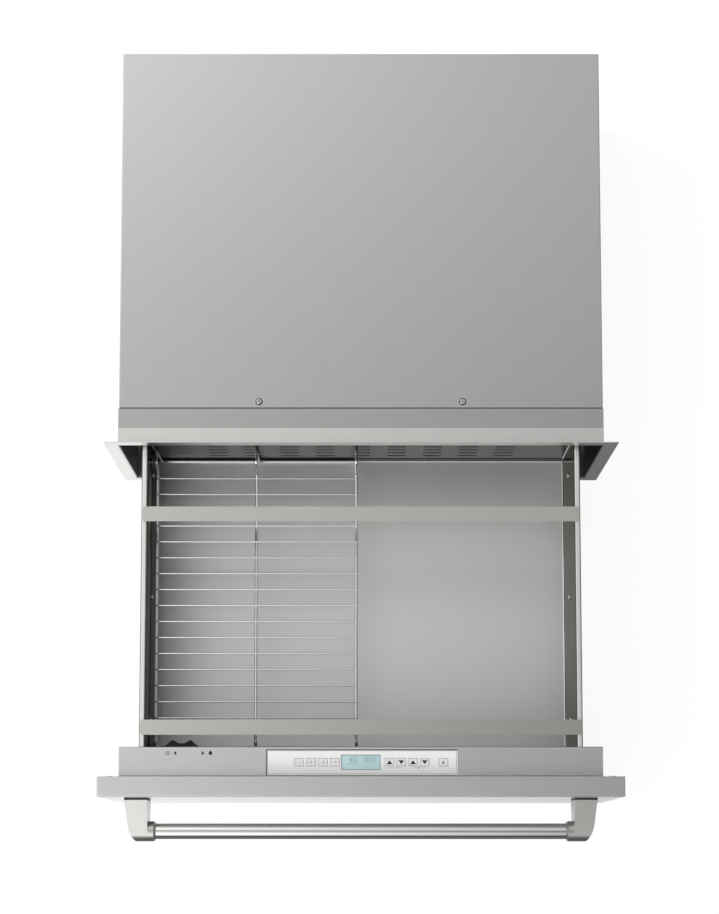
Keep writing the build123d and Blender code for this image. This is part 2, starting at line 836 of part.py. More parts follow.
def make_handle_pads():
    low, high = base_corners(handle_pad_inset)
    inner = handle_inner_half + handle_pad_inset
    outer = handle_inner_half + handle_bracket_width - handle_pad_inset
    pad = block(inner, outer, door_front - handle_pad_depth, door_front, low, high)
    sheets = door_sheet + handle_pad_depth
    pad -= holes_along(handle_screw_places(), (0, 1, 0), screw_radius + sheet_fit, sheets)
    return [pad, mirror(pad, about=Plane.YZ)]


def make_handle_bar():
    half = handle_inner_half + handle_socket_depth - sheet_fit
    return rod((-half, bar_axis_y, handle_height), (half, bar_axis_y, handle_height), handle_bar_radius)


# All the pan-head screws that ride on the drawer.
def make_drawer_screws():
    length = side_sheet + runner_sheet
    screws = []
    for x, y, z in runner_screw_places():
        screws.append(screw((x, y, z), (1, 0, 0), length))
        screws.append(screw((-x, y, z), (-1, 0, 0), length))
    for x, y, z in tab_screw_places():
        for side in (-1, 1):
            screws.append(screw((side * x, y, z), (0, -1, 0), tab_screw_length))
    for place in handle_screw_places():
        screws.append(screw(place, (0, -1, 0), handle_screw_length))
    return screws


def make_case_screws():
    screws = [screw(place, (0, 0, -1), cover_screw_length) for place in cover_screw_places()]
    screws += [screw(place, (0, -1, 0), back_screw_length) for place in back_screw_places()]
    return screws


def panel_block(margin, z0, z1):
    y0 = panel_rear - panel_length
    return block(panel_left - margin, panel_right + margin, y0 - margin, panel_rear + margin, z0, z1)


# The deck between the drawer and the door, with side wings that hide the runners.
def make_control_deck():
    outline = [
        (deck_rear, deck_top - deck_rear_skirt),
        (deck_rear, deck_top),
        (door_back, deck_top),
        (door_back, deck_top - deck_front_skirt),
    ]
    deck = folded_along_x(outline, deck_sheet, deck_fold_radius, -deck_half, deck_half)
    skirt_low = deck_top - deck_side_skirt
    for side in (-1, 1):
        edges = sorted((side * deck_half, side * (deck_half - deck_sheet)))
        deck += block(*edges, door_back + deck_wing_inset, deck_rear - deck_wing_inset, skirt_low, deck_top)
    return deck - panel_block(panel_gap, 0, case_height)


def key_places():
    places = {}
    for number in range(mode_keys):
        places[f"mode_key_{number + 1}"] = mode_key_first + number * mode_key_pitch
    for number, name in enumerate(arrow_keys):
        places[name] = arrow_key_first + number * arrow_key_pitch
    places["lock_key"] = lock_key_place
    return places


def window_block(margin, z0, z1):
    half_x = window_width / 2 + margin
    half_y = window_length / 2 + margin
    return block(-half_x, half_x, panel_middle_y - half_y, panel_middle_y + half_y, z0, z1)


def boss_places():
    middle = (panel_left + panel_right) / 2
    x = board_width / 2 - boss_inset
    y = board_length / 2 - boss_inset
    return [(middle + i * x, panel_middle_y + j * y) for i in (-1, 1) for j in (-1, 1)]


def make_control_panel():
    panel = panel_block(0, panel_under, panel_top)
    panel += panel_block(panel_rim, panel_under, deck_under)
    for x, y in boss_places():
        panel += rod((x, y, board_top), (x, y, panel_under + run_past), boss_radius)
    for x in key_places().values():
        half_x = key_width / 2 + key_gap
        half_y = key_length / 2 + key_gap
        y0 = panel_middle_y - half_y
        y1 = panel_middle_y + half_y
        panel -= block(x - half_x, x + half_x, y0, y1, panel_under - run_past, deck_top)
    return panel - window_block(window_gap, panel_under - run_past, deck_top)


def make_display_window():
    return window_block(0, panel_top - window_sheet, panel_top)


def make_display_module():
    module = window_block(display_rim, board_top, panel_under)
    top = panel_top - window_sheet - display_glass_gap
    return module + window_block(-window_gap, panel_under - run_past, top)


def make_control_board():
    x0 = (panel_left + panel_right - board_width) / 2
    y0 = panel_middle_y - board_length / 2
    return block(x0, x0 + board_width, y0, y0 + board_length, board_top - board_sheet, board_top)


def make_key_switches():
    half = switch_size / 2
    switches = []
    y = panel_middle_y
    body_top = board_top + switch_height
    for x in key_places().values():
        body = block(x - half, x + half, y - half, y + half, board_top, body_top)
        plunger = rod((x, y, board_top), (x, y, body_top + plunger_height), plunger_radius)
        switches.append(body + plunger)
    return switches


def make_key(x):
    top = panel_top + key_proud
    cap = Pos(x, panel_middle_y) * RectangleRounded(key_width, key_length, key_corner_radius)
    rim_top = panel_under - key_rim_gap
    stem_low = board_top + switch_height + plunger_height + key_travel + key_stem_gap
    rim_low = rim_top - key_rim_height
    key = extrude(Pos(0, 0, rim_top) * cap, amount=top - rim_top)
    key = chamfer(key.faces().sort_by(Axis.Z)[-1].edges(), key_proud / 2)
    rim = Pos(x, panel_middle_y) * Rectangle(key_width + 2 * key_rim, key_length + 2 * key_rim)
    key += extrude(Pos(0, 0, rim_low) * rim, amount=key_rim_height)
    return key + rod((x, panel_middle_y, stem_low), (x, panel_middle_y, rim_low), key_stem_radius)


# Knob, neck through the slot and shutter behind the wall, moulded as one piece.
def make_moisture_slider():
    half = slider_length / 2
    low = slider_axis - slider_height / 2
    base_y = pan_front + shutter_gap
    humps = [slider_place + side * slider_hump_spacing / 2 for side in (-1, 1)]
    outline = [
        (slider_place - half, base_y),
        (slider_place + half, base_y),
        (humps[1] + slider_hump_radius, pan_front + slider_shoulder),
        (humps[1], pan_front + slider_reach),
        (humps[1] - slider_hump_radius, pan_front + slider_valley),
        (humps[0] + slider_hump_radius, pan_front + slider_valley),
        (humps[0], pan_front + slider_reach),
        (humps[0] - slider_hump_radius, pan_front + slider_shoulder),
    ]
    knob = extrude(Pos(0, 0, low) * make_face(Polyline(*outline, close=True)), amount=slider_height)
    knob = fillet(knob.edges().filter_by(Axis.Z), slider_round)
    shutter_rear = pan_front - pan_sheet - shutter_gap
    neck = block(
        slider_place - slider_neck_length / 2,
        slider_place + slider_neck_length / 2,
        shutter_rear - shutter_sheet,
        base_y + run_past,
        slider_axis - slider_neck_height / 2,
        slider_axis + slider_neck_height / 2,
    )
    top = slider_axis + shutter_rise
    cover = vent_half_span + shutter_margin
    shutter = block(
        slider_place - cover - slider_travel,
        slider_place + cover,
        shutter_rear - shutter_sheet,
        shutter_rear,
        top - shutter_height,
        top,
    )
    shutter -= vent_cuts(sheet_fit, shutter_rear - shutter_sheet, shutter_rear)
    return knob + neck + shutter


def make_cross_bar(place):
    under = rail_top + bar_rest_gap
    half = rail_edge - bar_end_gap
    bar = block(-half, half, place - bar_width / 2, place + bar_width / 2, under, under + bar_sheet)
    return fillet(bar.edges().filter_by(Axis.Z), bar_corner_radius)


# Long wires with bent feet and rear stops, a foot wire at each end, and the cross wires on top. The long
# wires are notched where the others are welded to them.
def make_wire_rack():
    foot = floor_top + rack_foot_gap + long_wire_radius
    stop = rack_axis + rack_stop_height
    slope_start = cross_wire_first + rack_slope_gap
    long_places = [rack_left + number * rack_pitch for number in range(3)]
    ends = (long_places[0] - cross_wire_overhang, long_places[-1] + cross_wire_overhang)
    wires = []
    for y in (rack_front, rack_rear):
        wires.append(rod((ends[0], y, foot), (ends[1], y, foot), long_wire_radius))
    level = rack_axis + long_wire_radius + cross_wire_radius - weld_depth
    for number in range(cross_wires):
        y = cross_wire_first - number * cross_wire_pitch
        wires.append(rod((ends[0], y, level), (ends[1], y, level), cross_wire_radius))
    long_wires = []
    for x in long_places:
        points = [
            (x, rack_front, foot),
            (x, rack_front, rack_axis),
            (x, slope_start, rack_axis),
            (x, slope_start + rack_dip, stop),
            (x, rack_rear, stop),
            (x, rack_rear, foot),
        ]
        long_wires.append(bent_rod(points, rack_bend_radius, long_wire_radius) - wires)
    return long_wires + wires


def make_floor_insulation():
    half = heater_width / 2
    rear = baffle_front - baffle_gap
    return block(-half, half, heater_start, rear, case_sheet, case_sheet + floor_insulation_height)


def make_heater_tray():
    half = heater_width / 2
    under = tray_floor - heater_sheet
    top = under + heater_edge
    outline = [(-half, top), (-half, under), (half, under), (half, top)]
    return folded_along_y(outline, heater_sheet, fold_radius, heater_start, baffle_front - baffle_gap)


def make_heating_element():
    z = element_axis
    tail = baffle_front + element_tail
    right = [
        (0, element_return, z),
        (element_inner_half, element_return, z),
        (element_inner_half, element_front, z),
        (element_half_width, element_front, z),
        (element_half_width, element_cross, z),
        (element_end_half, element_cross, z),
        (element_end_half, tail, z),
    ]
    half = bent_rod(right, element_bend_radius, element_radius)
    return half + mirror(half, about=Plane.YZ)


def make_element_clips():
    clips = []
    runs = [side * half for side in (-1, 1) for half in (element_inner_half, element_half_width)]
    rows = (element_front + clip_inset, element_return - clip_inset)
    top = element_axis + element_radius + clip_top
    for x in runs:
        for y in rows:
            x0 = x - clip_width / 2
            y0 = y - clip_sheet / 2
            post = block(x0, x0 + clip_width, y0, y0 + clip_sheet, tray_floor, top)
            bore = holes_along([(x, y, element_axis)], (0, 1, 0), element_radius + clip_fit, clip_sheet)
            clips.append(post - bore)
    return clips


def make_rear_baffle():
    outline = [
        (baffle_front + baffle_foot, case_sheet),
        (baffle_front, case_sheet),
        (baffle_front, case_roof - baffle_top_gap),
    ]
    path = FilletPolyline(*outline, radius=fold_radius + baffle_sheet)
    section = make_face(offset(path, baffle_sheet, side=Side.RIGHT))
    baffle = extrude(Plane.YZ.offset(-baffle_half_width) * section, amount=2 * baffle_half_width)
    rod_places = [(side * element_end_half, baffle_front, element_axis) for side in (-1, 1)]
    baffle -= holes_along(rod_places, (0, 1, 0), rod_hole_radius, baffle_sheet)
    probe = [(probe_place, baffle_front, probe_height)]
    return baffle - holes_along(probe, (0, 1, 0), probe_radius + clip_fit, baffle_sheet)


# Ceramic bushes carry the rod through the baffle; they belong to the element.
def element_bushes():
    bushes = []
    for side in (-1, 1):
        x = side * element_end_half
        rear = baffle_front + baffle_sheet
        bush = rod((x, rear, element_axis), (x, rear + bush_length, element_axis), bush_radius)
        bush -= holes_along([(x, rear, element_axis)], (0, 1, 0), element_radius + clip_fit, bush_length)
        bushes.append(bush)
    return bushes


def make_temperature_probe():
    rear = baffle_front + baffle_sheet
    tip = (probe_place, baffle_front - probe_reach, probe_height)
    probe = rod(tip, (probe_place, rear + run_past, probe_height), probe_radius)
    probe = fillet(probe.edges().sort_by(Axis.Y)[0], probe_radius * probe_tip_share)
    nut = Plane.XZ.offset(-rear) * Pos(probe_place, probe_height) * RegularPolygon(probe_nut_radius, 6)
    return probe + extrude(nut, amount=-probe_nut_height)


# Supply board on posts behind the baffle, with two relays and a transformer block.
def make_supply_board():
    left = supply_board_left
    right = left + supply_board_width
    low = supply_board_bottom
    high = low + supply_board_height
    wall = baffle_front + baffle_sheet
    y0 = wall + supply_post_length
    y1 = y0 + board_sheet
    board = block(left, right, y0, y1, low, high)
    for x in (left + supply_post_inset, right - supply_post_inset):
        for z in (low + supply_post_inset, high - supply_post_inset):
            board += rod((x, wall, z), (x, y1, z), supply_post_radius)
    middle = (low + high) / 2
    for number in range(2):
        x0 = left + transformer_inset + number * relay_pitch
        board += block(x0, x0 + relay_width, y0, y1 + relay_depth, middle, middle + relay_height)
    x1 = right - transformer_inset
    z0 = low + transformer_inset
    board += block(x1 - transformer_width, x1, y0, y1 + transformer_depth, z0, z0 + transformer_height)
    return board


def make_terminal_block():
    rear = case_depth - case_sheet
    front = rear - terminal_depth
    top = terminal_bottom + terminal_height
    left = terminal_place - terminal_width / 2
    terminals = block(left, left + terminal_width, front, rear, terminal_bottom, top)
    pitch = terminal_width / terminal_ways
    for number in range(terminal_ways):
        x = left + (number + 0.5) * pitch
        for z in (terminal_bottom + terminal_hole_inset, top - terminal_hole_inset):
            mouth = (x, front - run_past, z)
            terminals -= rod(mouth, (x, front + terminal_hole_depth, z), terminal_hole_radius)
        if number:
            x0 = left + number * pitch - terminal_wall / 2
            y0 = front - terminal_wall_proud
            terminals += block(x0, x0 + terminal_wall, y0, front + run_past, terminal_bottom, top)
    return terminals


def make_cord_gland():
    inside = case_depth - case_sheet - gland_rim
    outside = case_depth + gland_rim
    x = gland_place
    z = gland_height
    gland = rod((x, inside, z), (x, outside, z), gland_hole_radius - gland_fit)
    gland += rod((x, inside, z), (x, case_depth - case_sheet, z), gland_rim_radius)
    gland += rod((x, case_depth, z), (x, outside, z), gland_rim_radius)
    gland = chamfer(gland.edges().sort_by(Axis.Y)[-1], gland_edge)
    return gland - rod((x, inside - run_past, z), (x, outside + run_past, z), gland_bore_radius)


# A piece and its mirror image for the left side.
def both_sides(name, piece):
    solids = piece if isinstance(piece, list) else [piece]
    left = [mirror(solid, about=Plane.YZ) for solid in solids]
    return {f"{name}_left": left, f"{name}_right": solids}


nodes = {
    "top_cover": make_top_cover(),
    "bottom_panel": make_bottom_panel(),
    "back_panel": make_back_panel(),
    "front_ring": make_front_ring(),
    "trim_flange": make_trim_flange(),
    "case_screws": make_case_screws(),
    "rear_baffle": make_rear_baffle(),
    "floor_insulation": make_floor_insulation(),
    "heater_tray": make_heater_tray(),
    "heating_element": [make_heating_element()] + element_bushes(),
    "element_clips": make_element_clips(),
    "temperature_probe": make_temperature_probe(),
    "supply_board": make_supply_board(),
    "terminal_block": make_terminal_block(),
    "cord_gland": make_cord_gland(),
    "drawer_pan": make_drawer_pan(),
    "drawer_screws": make_drawer_screws(),
    "door_skin": make_door_skin(),
    "door_back_plate": make_door_back_plate(),
    "door_insulation": make_door_insulation(),
    "door_bumpers": make_door_bumpers(),
    "handle_pads": make_handle_pads(),
    "handle_bar": make_handle_bar(),
    "control_deck": make_control_deck(),
    "control_panel": make_control_panel(),
    "display_window": make_display_window(),
    "display_module": make_display_module(),
    "control_board": make_control_board(),
    "key_switches": make_key_switches(),
    "moisture_slider": make_moisture_slider(),
    "front_cross_bar": make_cross_bar(front_bar_place),
    "rear_cross_bar": make_cross_bar(rear_bar_place),
    "wire_rack": make_wire_rack(),
}
nodes.update(both_sides("side_panel", make_side_panel()))
nodes.update(both_sides("runner_support", make_runner_support()))
nodes.update(both_sides("runner_outer", make_runner_outer()))
nodes.update(both_sides("runner_middle", make_runner_middle()))
nodes.update(both_sides("runner_inner", make_runner_inner()))
nodes.update(both_sides("outer_ball_cage", make_outer_cage()))
nodes.update(both_sides("inner_ball_cage", make_inner_cage()))
nodes.update(both_sides("drawer_side", make_drawer_side()))
nodes.update(both_sides("handle_bracket", make_handle_bracket()))
for key_name, key_x in key_places().items():
    nodes[key_name] = make_key(key_x)

for name, piece in nodes.items():
    solids = piece if isinstance(piece, list) else [piece]
    shape = solids[0] if len(solids) == 1 else Compound(children=solids)
    export_step(shape, f"parts/{name}.step")
    print(name, len(solids), round(sum(solid.volume for solid in solids), 1))
print(len(nodes), "nodes")
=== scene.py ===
import json
import math

import bmesh
import bpy
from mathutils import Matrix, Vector


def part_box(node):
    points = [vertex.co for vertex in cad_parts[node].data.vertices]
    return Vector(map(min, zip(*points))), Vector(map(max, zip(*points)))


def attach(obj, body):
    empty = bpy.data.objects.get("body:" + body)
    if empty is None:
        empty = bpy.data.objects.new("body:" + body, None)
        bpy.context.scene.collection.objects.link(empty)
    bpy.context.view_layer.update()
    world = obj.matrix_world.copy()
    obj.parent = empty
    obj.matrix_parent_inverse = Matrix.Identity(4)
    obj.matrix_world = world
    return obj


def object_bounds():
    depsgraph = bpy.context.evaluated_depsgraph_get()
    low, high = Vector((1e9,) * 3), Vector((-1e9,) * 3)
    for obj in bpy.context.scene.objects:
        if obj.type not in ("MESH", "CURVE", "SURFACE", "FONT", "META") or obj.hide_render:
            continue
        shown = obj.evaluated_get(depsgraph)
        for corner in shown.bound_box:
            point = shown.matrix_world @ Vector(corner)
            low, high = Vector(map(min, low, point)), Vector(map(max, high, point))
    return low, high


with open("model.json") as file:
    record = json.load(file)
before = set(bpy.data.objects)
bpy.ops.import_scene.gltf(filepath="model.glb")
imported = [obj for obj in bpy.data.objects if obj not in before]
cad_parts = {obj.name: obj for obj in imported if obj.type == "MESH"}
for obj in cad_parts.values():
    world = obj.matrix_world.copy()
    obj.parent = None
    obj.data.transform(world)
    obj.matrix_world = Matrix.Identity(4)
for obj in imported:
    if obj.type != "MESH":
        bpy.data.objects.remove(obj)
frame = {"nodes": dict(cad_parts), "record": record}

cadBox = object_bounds()
mm = 0.001
scene = bpy.context.scene
scene.view_settings.view_transform = "Standard"
print("frame loaded:", len(frame["nodes"]), "nodes")


# ---- colours and nodes

white = (1, 1, 1, 1)
noiseRange = {"From Min": 0.3, "From Max": 0.7}  # where most of a noise lies


def hexToLinear(code):
    channels = [int(code[i:i + 2], 16) / 255 for i in (1, 3, 5)]
    return [c / 12.92 if c <= 0.04045 else ((c + 0.055) / 1.055) ** 2.4 for c in channels] + [1.0]


# Adds a node with its settings. An input gets a value, or a link when it is given a socket or a node, whose
# first output it takes.
def addNode(tree, kind, settings=None, inputs=None):
    node = tree.nodes.new(kind)
    for name, value in (settings or {}).items():
        setattr(node, name, value)
    for socket, value in (inputs or {}).items():
        if isinstance(value, bpy.types.Node):
            value = value.outputs[0]
        if isinstance(value, bpy.types.NodeSocket):
            tree.links.new(value, node.inputs[socket])
        else:
            node.inputs[socket].default_value = value
    return node


# A grey curve through (place, value) points, read at a value.
def readCurve(tree, source, points):
    first = points[0][0]
    last = points[-1][0]
    share = addNode(
        tree, "ShaderNodeMapRange", inputs={"Value": source, "From Min": first, "From Max": last}
    )
    ramp = addNode(tree, "ShaderNodeValToRGB", inputs={0: share})
    stops = ramp.color_ramp.elements
    top = max(value for place, value in points)
    while len(stops) < len(points):
        stops.new(0.5)
    for stop, (place, value) in zip(stops, points):
        stop.position = (place - first) / (last - first)
        stop.color = (value / top, value / top, value / top, 1)
    return addNode(tree, "ShaderNodeMath", {"operation": "MULTIPLY"}, {0: ramp, 1: top})


def startMaterial(name):
    material = bpy.data.materials.new(name)
    material.use_nodes = True
    material.node_tree.nodes.clear()
    return material


def endMaterial(material, shader):
    addNode(material.node_tree, "ShaderNodeOutputMaterial", inputs={"Surface": shader})
    return material


# Noise in real millimetres: size gives the length of one patch along X, Y and Z.
def noiseIn(tree, size, detail=3.0, roughness=0.55):
    place = addNode(tree, "ShaderNodeTexCoord").outputs["Object"]
    scale = [1 / (length * mm) for length in size]
    mapped = addNode(tree, "ShaderNodeMapping", inputs={"Vector": place, "Scale": scale})
    return addNode(
        tree,
        "ShaderNodeTexNoise",
        inputs={"Vector": mapped, "Scale": 1.0, "Detail": detail, "Roughness": roughness},
    )


# ---- camera

# The photograph looks straight down from in front of the door, with the frame moved far to the back. Half of
# that move is the camera's shift here and a small tilt is the rest, so that other views stay in their frame.
cameraValues = {
    "place": (0.0, -0.6164, 2.928),  # metres
    "tilt": 5.52,  # degrees from straight down, towards the back
    "lens": 73.5,  # mm, on 36 mm along the image's long side
    "shiftUp": 0.25,
    "shiftAcross": -0.0015,
    "farEnd": 100,  # metres
}


def makeCamera(values):
    data = bpy.data.cameras.new("camera")
    data.lens = values["lens"]
    data.shift_y = values["shiftUp"]
    data.shift_x = values["shiftAcross"]
    data.clip_end = values["farEnd"]
    camera = bpy.data.objects.new("camera", data)
    camera.location = values["place"]
    camera.rotation_euler = (math.radians(values["tilt"]), 0, 0)
    scene.collection.objects.link(camera)
    scene.camera = camera


makeCamera(cameraValues)
print("camera placed")

# ---- studio

# Two long soft boxes overhead, one to the front and one to the back of the drawer, brighter to the left. The
# horizon is dark, which gives the metal its dark edges.
studioValues = {
    # brightness by the turn from overhead in degrees, to the front (-) and to the back (+)
    "overhead": (
        (-90, 0.03), (-82, 0.05), (-74, 0.14), (-66, 0.4), (-57, 0.78), (-48, 1.02), (-38, 1.1), (-27, 0.98),
        (-20, 0.72), (-12, 0.46), (-5, 0.38), (2, 0.36), (6, 0.42), (11, 0.5), (16, 0.54), (22, 0.82),
        (30, 1.14), (36, 1.02), (44, 0.62), (52, 0.32), (62, 0.1), (74, 0.04), (90, 0.06),
    ),
    # and by the sideways part of the direction, left (-) to right (+)
    "across": (
        (-0.95, 1.8), (-0.6, 3.0), (-0.35, 3.2), (-0.2, 2.3), (-0.1, 1.5), (0, 1.0), (0.1, 0.6), (0.2, 0.28),
        (0.35, 0.07), (0.5, 0.25), (0.7, 0.7), (0.95, 0.9),
    ),
    # how much of the left-to-right change there is at each turn from overhead
    "acrossShare": ((-90, 0.6), (-50, 1.0), (0, 1.0), (7, 0.6), (13, 0.1), (20, 0.12), (27, 0.65), (90, 0.7)),
    "sideHorizon": 0.3,  # share that is left at the horizon to the sides
    "sideFade": (0.1, 0.6),  # radians above that horizon, from this share to all of the light
    "paper": "#5e5e5e",
    "paperGlow": 0.92,  # to the eye, where 1 is white
    "paperHalf": 30,  # metres
    "paperDrop": 0.5,  # mm under the object
    # the paper as metal sees it, with painted light and shade by its place across in metres: beside the
    # drawer and in front of the door
    "paperShadeInMetal": ((-0.8, 1.0), (-0.36, 0.95), (-0.1, 0.6), (0.3, 0.18), (0.6, 0.12)),
    "paperLightInFront": ((-0.8, 1.15), (-0.3, 1.05), (0.3, 0.8), (0.8, 0.6)),
    "frontFrom": -0.53,  # metres along Y, where the one goes over into the other
    "frontTo": -0.47,
    "frontEnd": -0.66,  # and where the part in front goes over into the dark one
    "darkFrom": -0.74,
    # painted shade: past the handle the paper is dark as metal sees it
    "paperShadeFar": ((-9, 0.5), (-4, 0.06), (-2.4, 0.03), (-0.7, 0.03)),  # the dark part, by its place along Y
    "lampPlace": (-2.4, 1.6, 2.2),  # metres
    "lampTarget": (0, -0.3, 0.2),
    "lampSize": 0.6,
    "lampPower": 70,  # watts
}


def makeWorld(values):
    world = bpy.data.worlds.new("studio")
    scene.world = world
    world.use_nodes = True
    tree = world.node_tree
    tree.nodes.clear()
    direction = addNode(tree, "ShaderNodeTexCoord").outputs["Generated"]
    axes = addNode(tree, "ShaderNodeSeparateXYZ", inputs={0: direction})
    turn = addNode(
        tree, "ShaderNodeMath", {"operation": "ARCTAN2"}, {0: axes.outputs["Y"], 1: axes.outputs["Z"]}
    )
    turn = addNode(tree, "ShaderNodeMath", {"operation": "DEGREES"}, {0: turn})
    overhead = readCurve(tree, turn, values["overhead"])
    share = readCurve(tree, turn, values["acrossShare"])
    across = readCurve(tree, axes.outputs["X"], values["across"])
    across = addNode(tree, "ShaderNodeMix", {"data_type": "FLOAT"}, {0: share, 2: 1.0, 3: across})
    sideways = addNode(tree, "ShaderNodeMath", {"operation": "ABSOLUTE"}, {0: axes.outputs["X"]})
    sideTurn = addNode(
        tree, "ShaderNodeMath", {"operation": "ARCTAN2"}, {0: axes.outputs["Z"], 1: sideways}
    )
    side = addNode(
        tree, "ShaderNodeMapRange",
        inputs={
            "Value": sideTurn,
            "From Min": values["sideFade"][0],
            "From Max": values["sideFade"][1],
            "To Min": values["sideHorizon"],
            "To Max": 1.0,
        },
    )
    sky = addNode(tree, "ShaderNodeMath", {"operation": "MULTIPLY"}, {0: overhead, 1: across})
    sky = addNode(tree, "ShaderNodeMath", {"operation": "MULTIPLY"}, {0: sky, 1: side})
    seen = addNode(tree, "ShaderNodeLightPath").outputs["Is Camera Ray"]
    light = addNode(tree, "ShaderNodeBackground", inputs={"Color": white, "Strength": sky})
    plain = addNode(tree, "ShaderNodeBackground", inputs={"Color": white, "Strength": 1.0})
    both = addNode(tree, "ShaderNodeMixShader", inputs={0: seen, 1: light, 2: plain})
    addNode(tree, "ShaderNodeOutputWorld", inputs={"Surface": both})


# Paper floor: white to the eye with a faint shadow. In metal it shows painted light and shade by place: a
# painted pool of light to the left and in front of the door, painted shadow where the drawer keeps the light
# from it, and painted dark past the handle.
def makeFloor(values):
    material = startMaterial("matt_background_paper")
    tree = material.node_tree
    path = addNode(tree, "ShaderNodeLightPath")
    place = addNode(tree, "ShaderNodeTexCoord").outputs["Object"]
    axes = addNode(tree, "ShaderNodeSeparateXYZ", inputs={0: place})
    beside = readCurve(tree, axes.outputs["X"], values["paperShadeInMetal"])
    front = readCurve(tree, axes.outputs["X"], values["paperLightInFront"])
    isFront = addNode(
        tree, "ShaderNodeMapRange",
        inputs={
            "Value": axes.outputs["Y"],
            "From Min": values["frontFrom"],
            "From Max": values["frontTo"],
            "To Min": 1,
            "To Max": 0,
        },
    )
    near = addNode(tree, "ShaderNodeMix", {"data_type": "FLOAT"}, {0: isFront, 2: beside, 3: front})
    isFar = addNode(
        tree, "ShaderNodeMapRange",
        inputs={
            "Value": axes.outputs["Y"],
            "From Min": values["darkFrom"],
            "From Max": values["frontEnd"],
            "To Min": 1,
            "To Max": 0,
        },
    )
    far = readCurve(tree, axes.outputs["Y"], values["paperShadeFar"])
    mixed = addNode(tree, "ShaderNodeMix", {"data_type": "FLOAT"}, {0: isFar, 2: near, 3: far})
    # Painted light and shade: the paper's glow in metal is set by its place, for the drawer's shadow and the
    # light in front.
    paintedInMetal = addNode(
        tree, "ShaderNodeMath", {"operation": "MULTIPLY"}, {0: path.outputs["Is Glossy Ray"], 1: mixed}
    )
    direct = addNode(
        tree, "ShaderNodeMath", {"operation": "MAXIMUM"},
        {0: path.outputs["Is Camera Ray"], 1: path.outputs["Is Transmission Ray"]},
    )
    toEye = addNode(
        tree, "ShaderNodeMath", {"operation": "MULTIPLY"}, {0: direct, 1: values["paperGlow"]}
    )
    paper = addNode(tree, "ShaderNodeBsdfDiffuse", inputs={"Color": hexToLinear(values["paper"])})
    strength = addNode(tree, "ShaderNodeMath", {"operation": "MAXIMUM"}, {0: paintedInMetal, 1: toEye})
    glow = addNode(tree, "ShaderNodeEmission", inputs={"Color": white, "Strength": strength})
    both = addNode(tree, "ShaderNodeAddShader", inputs={0: paper, 1: glow})
    endMaterial(material, both)
    mesh = bpy.data.meshes.new("floor")
    half = values["paperHalf"]
    low = cadBox[0].z - values["paperDrop"] * mm
    corners = [(-half, -half, low), (half, -half, low), (half, half, low), (-half, half, low)]
    mesh.from_pydata(corners, [], [(0, 1, 2, 3)])
    mesh.materials.append(material)
    floor = bpy.data.objects.new("floor", mesh)
    scene.collection.objects.link(floor)


# One soft lamp from the back left gives the plastics their light and shade. Metal shows the soft boxes only.
def makeLamp(values):
    data = bpy.data.lights.new("soft_lamp", "AREA")
    data.shape = "DISK"
    data.size = values["lampSize"]
    data.energy = values["lampPower"]
    lamp = bpy.data.objects.new("soft_lamp", data)
    lamp.location = values["lampPlace"]
    towards = Vector(values["lampTarget"]) - Vector(values["lampPlace"])
    lamp.rotation_euler = towards.to_track_quat("-Z", "Y").to_euler()
    lamp.visible_glossy = False
    scene.collection.objects.link(lamp)


makeWorld(studioValues)
makeFloor(studioValues)
makeLamp(studioValues)
print("studio made")
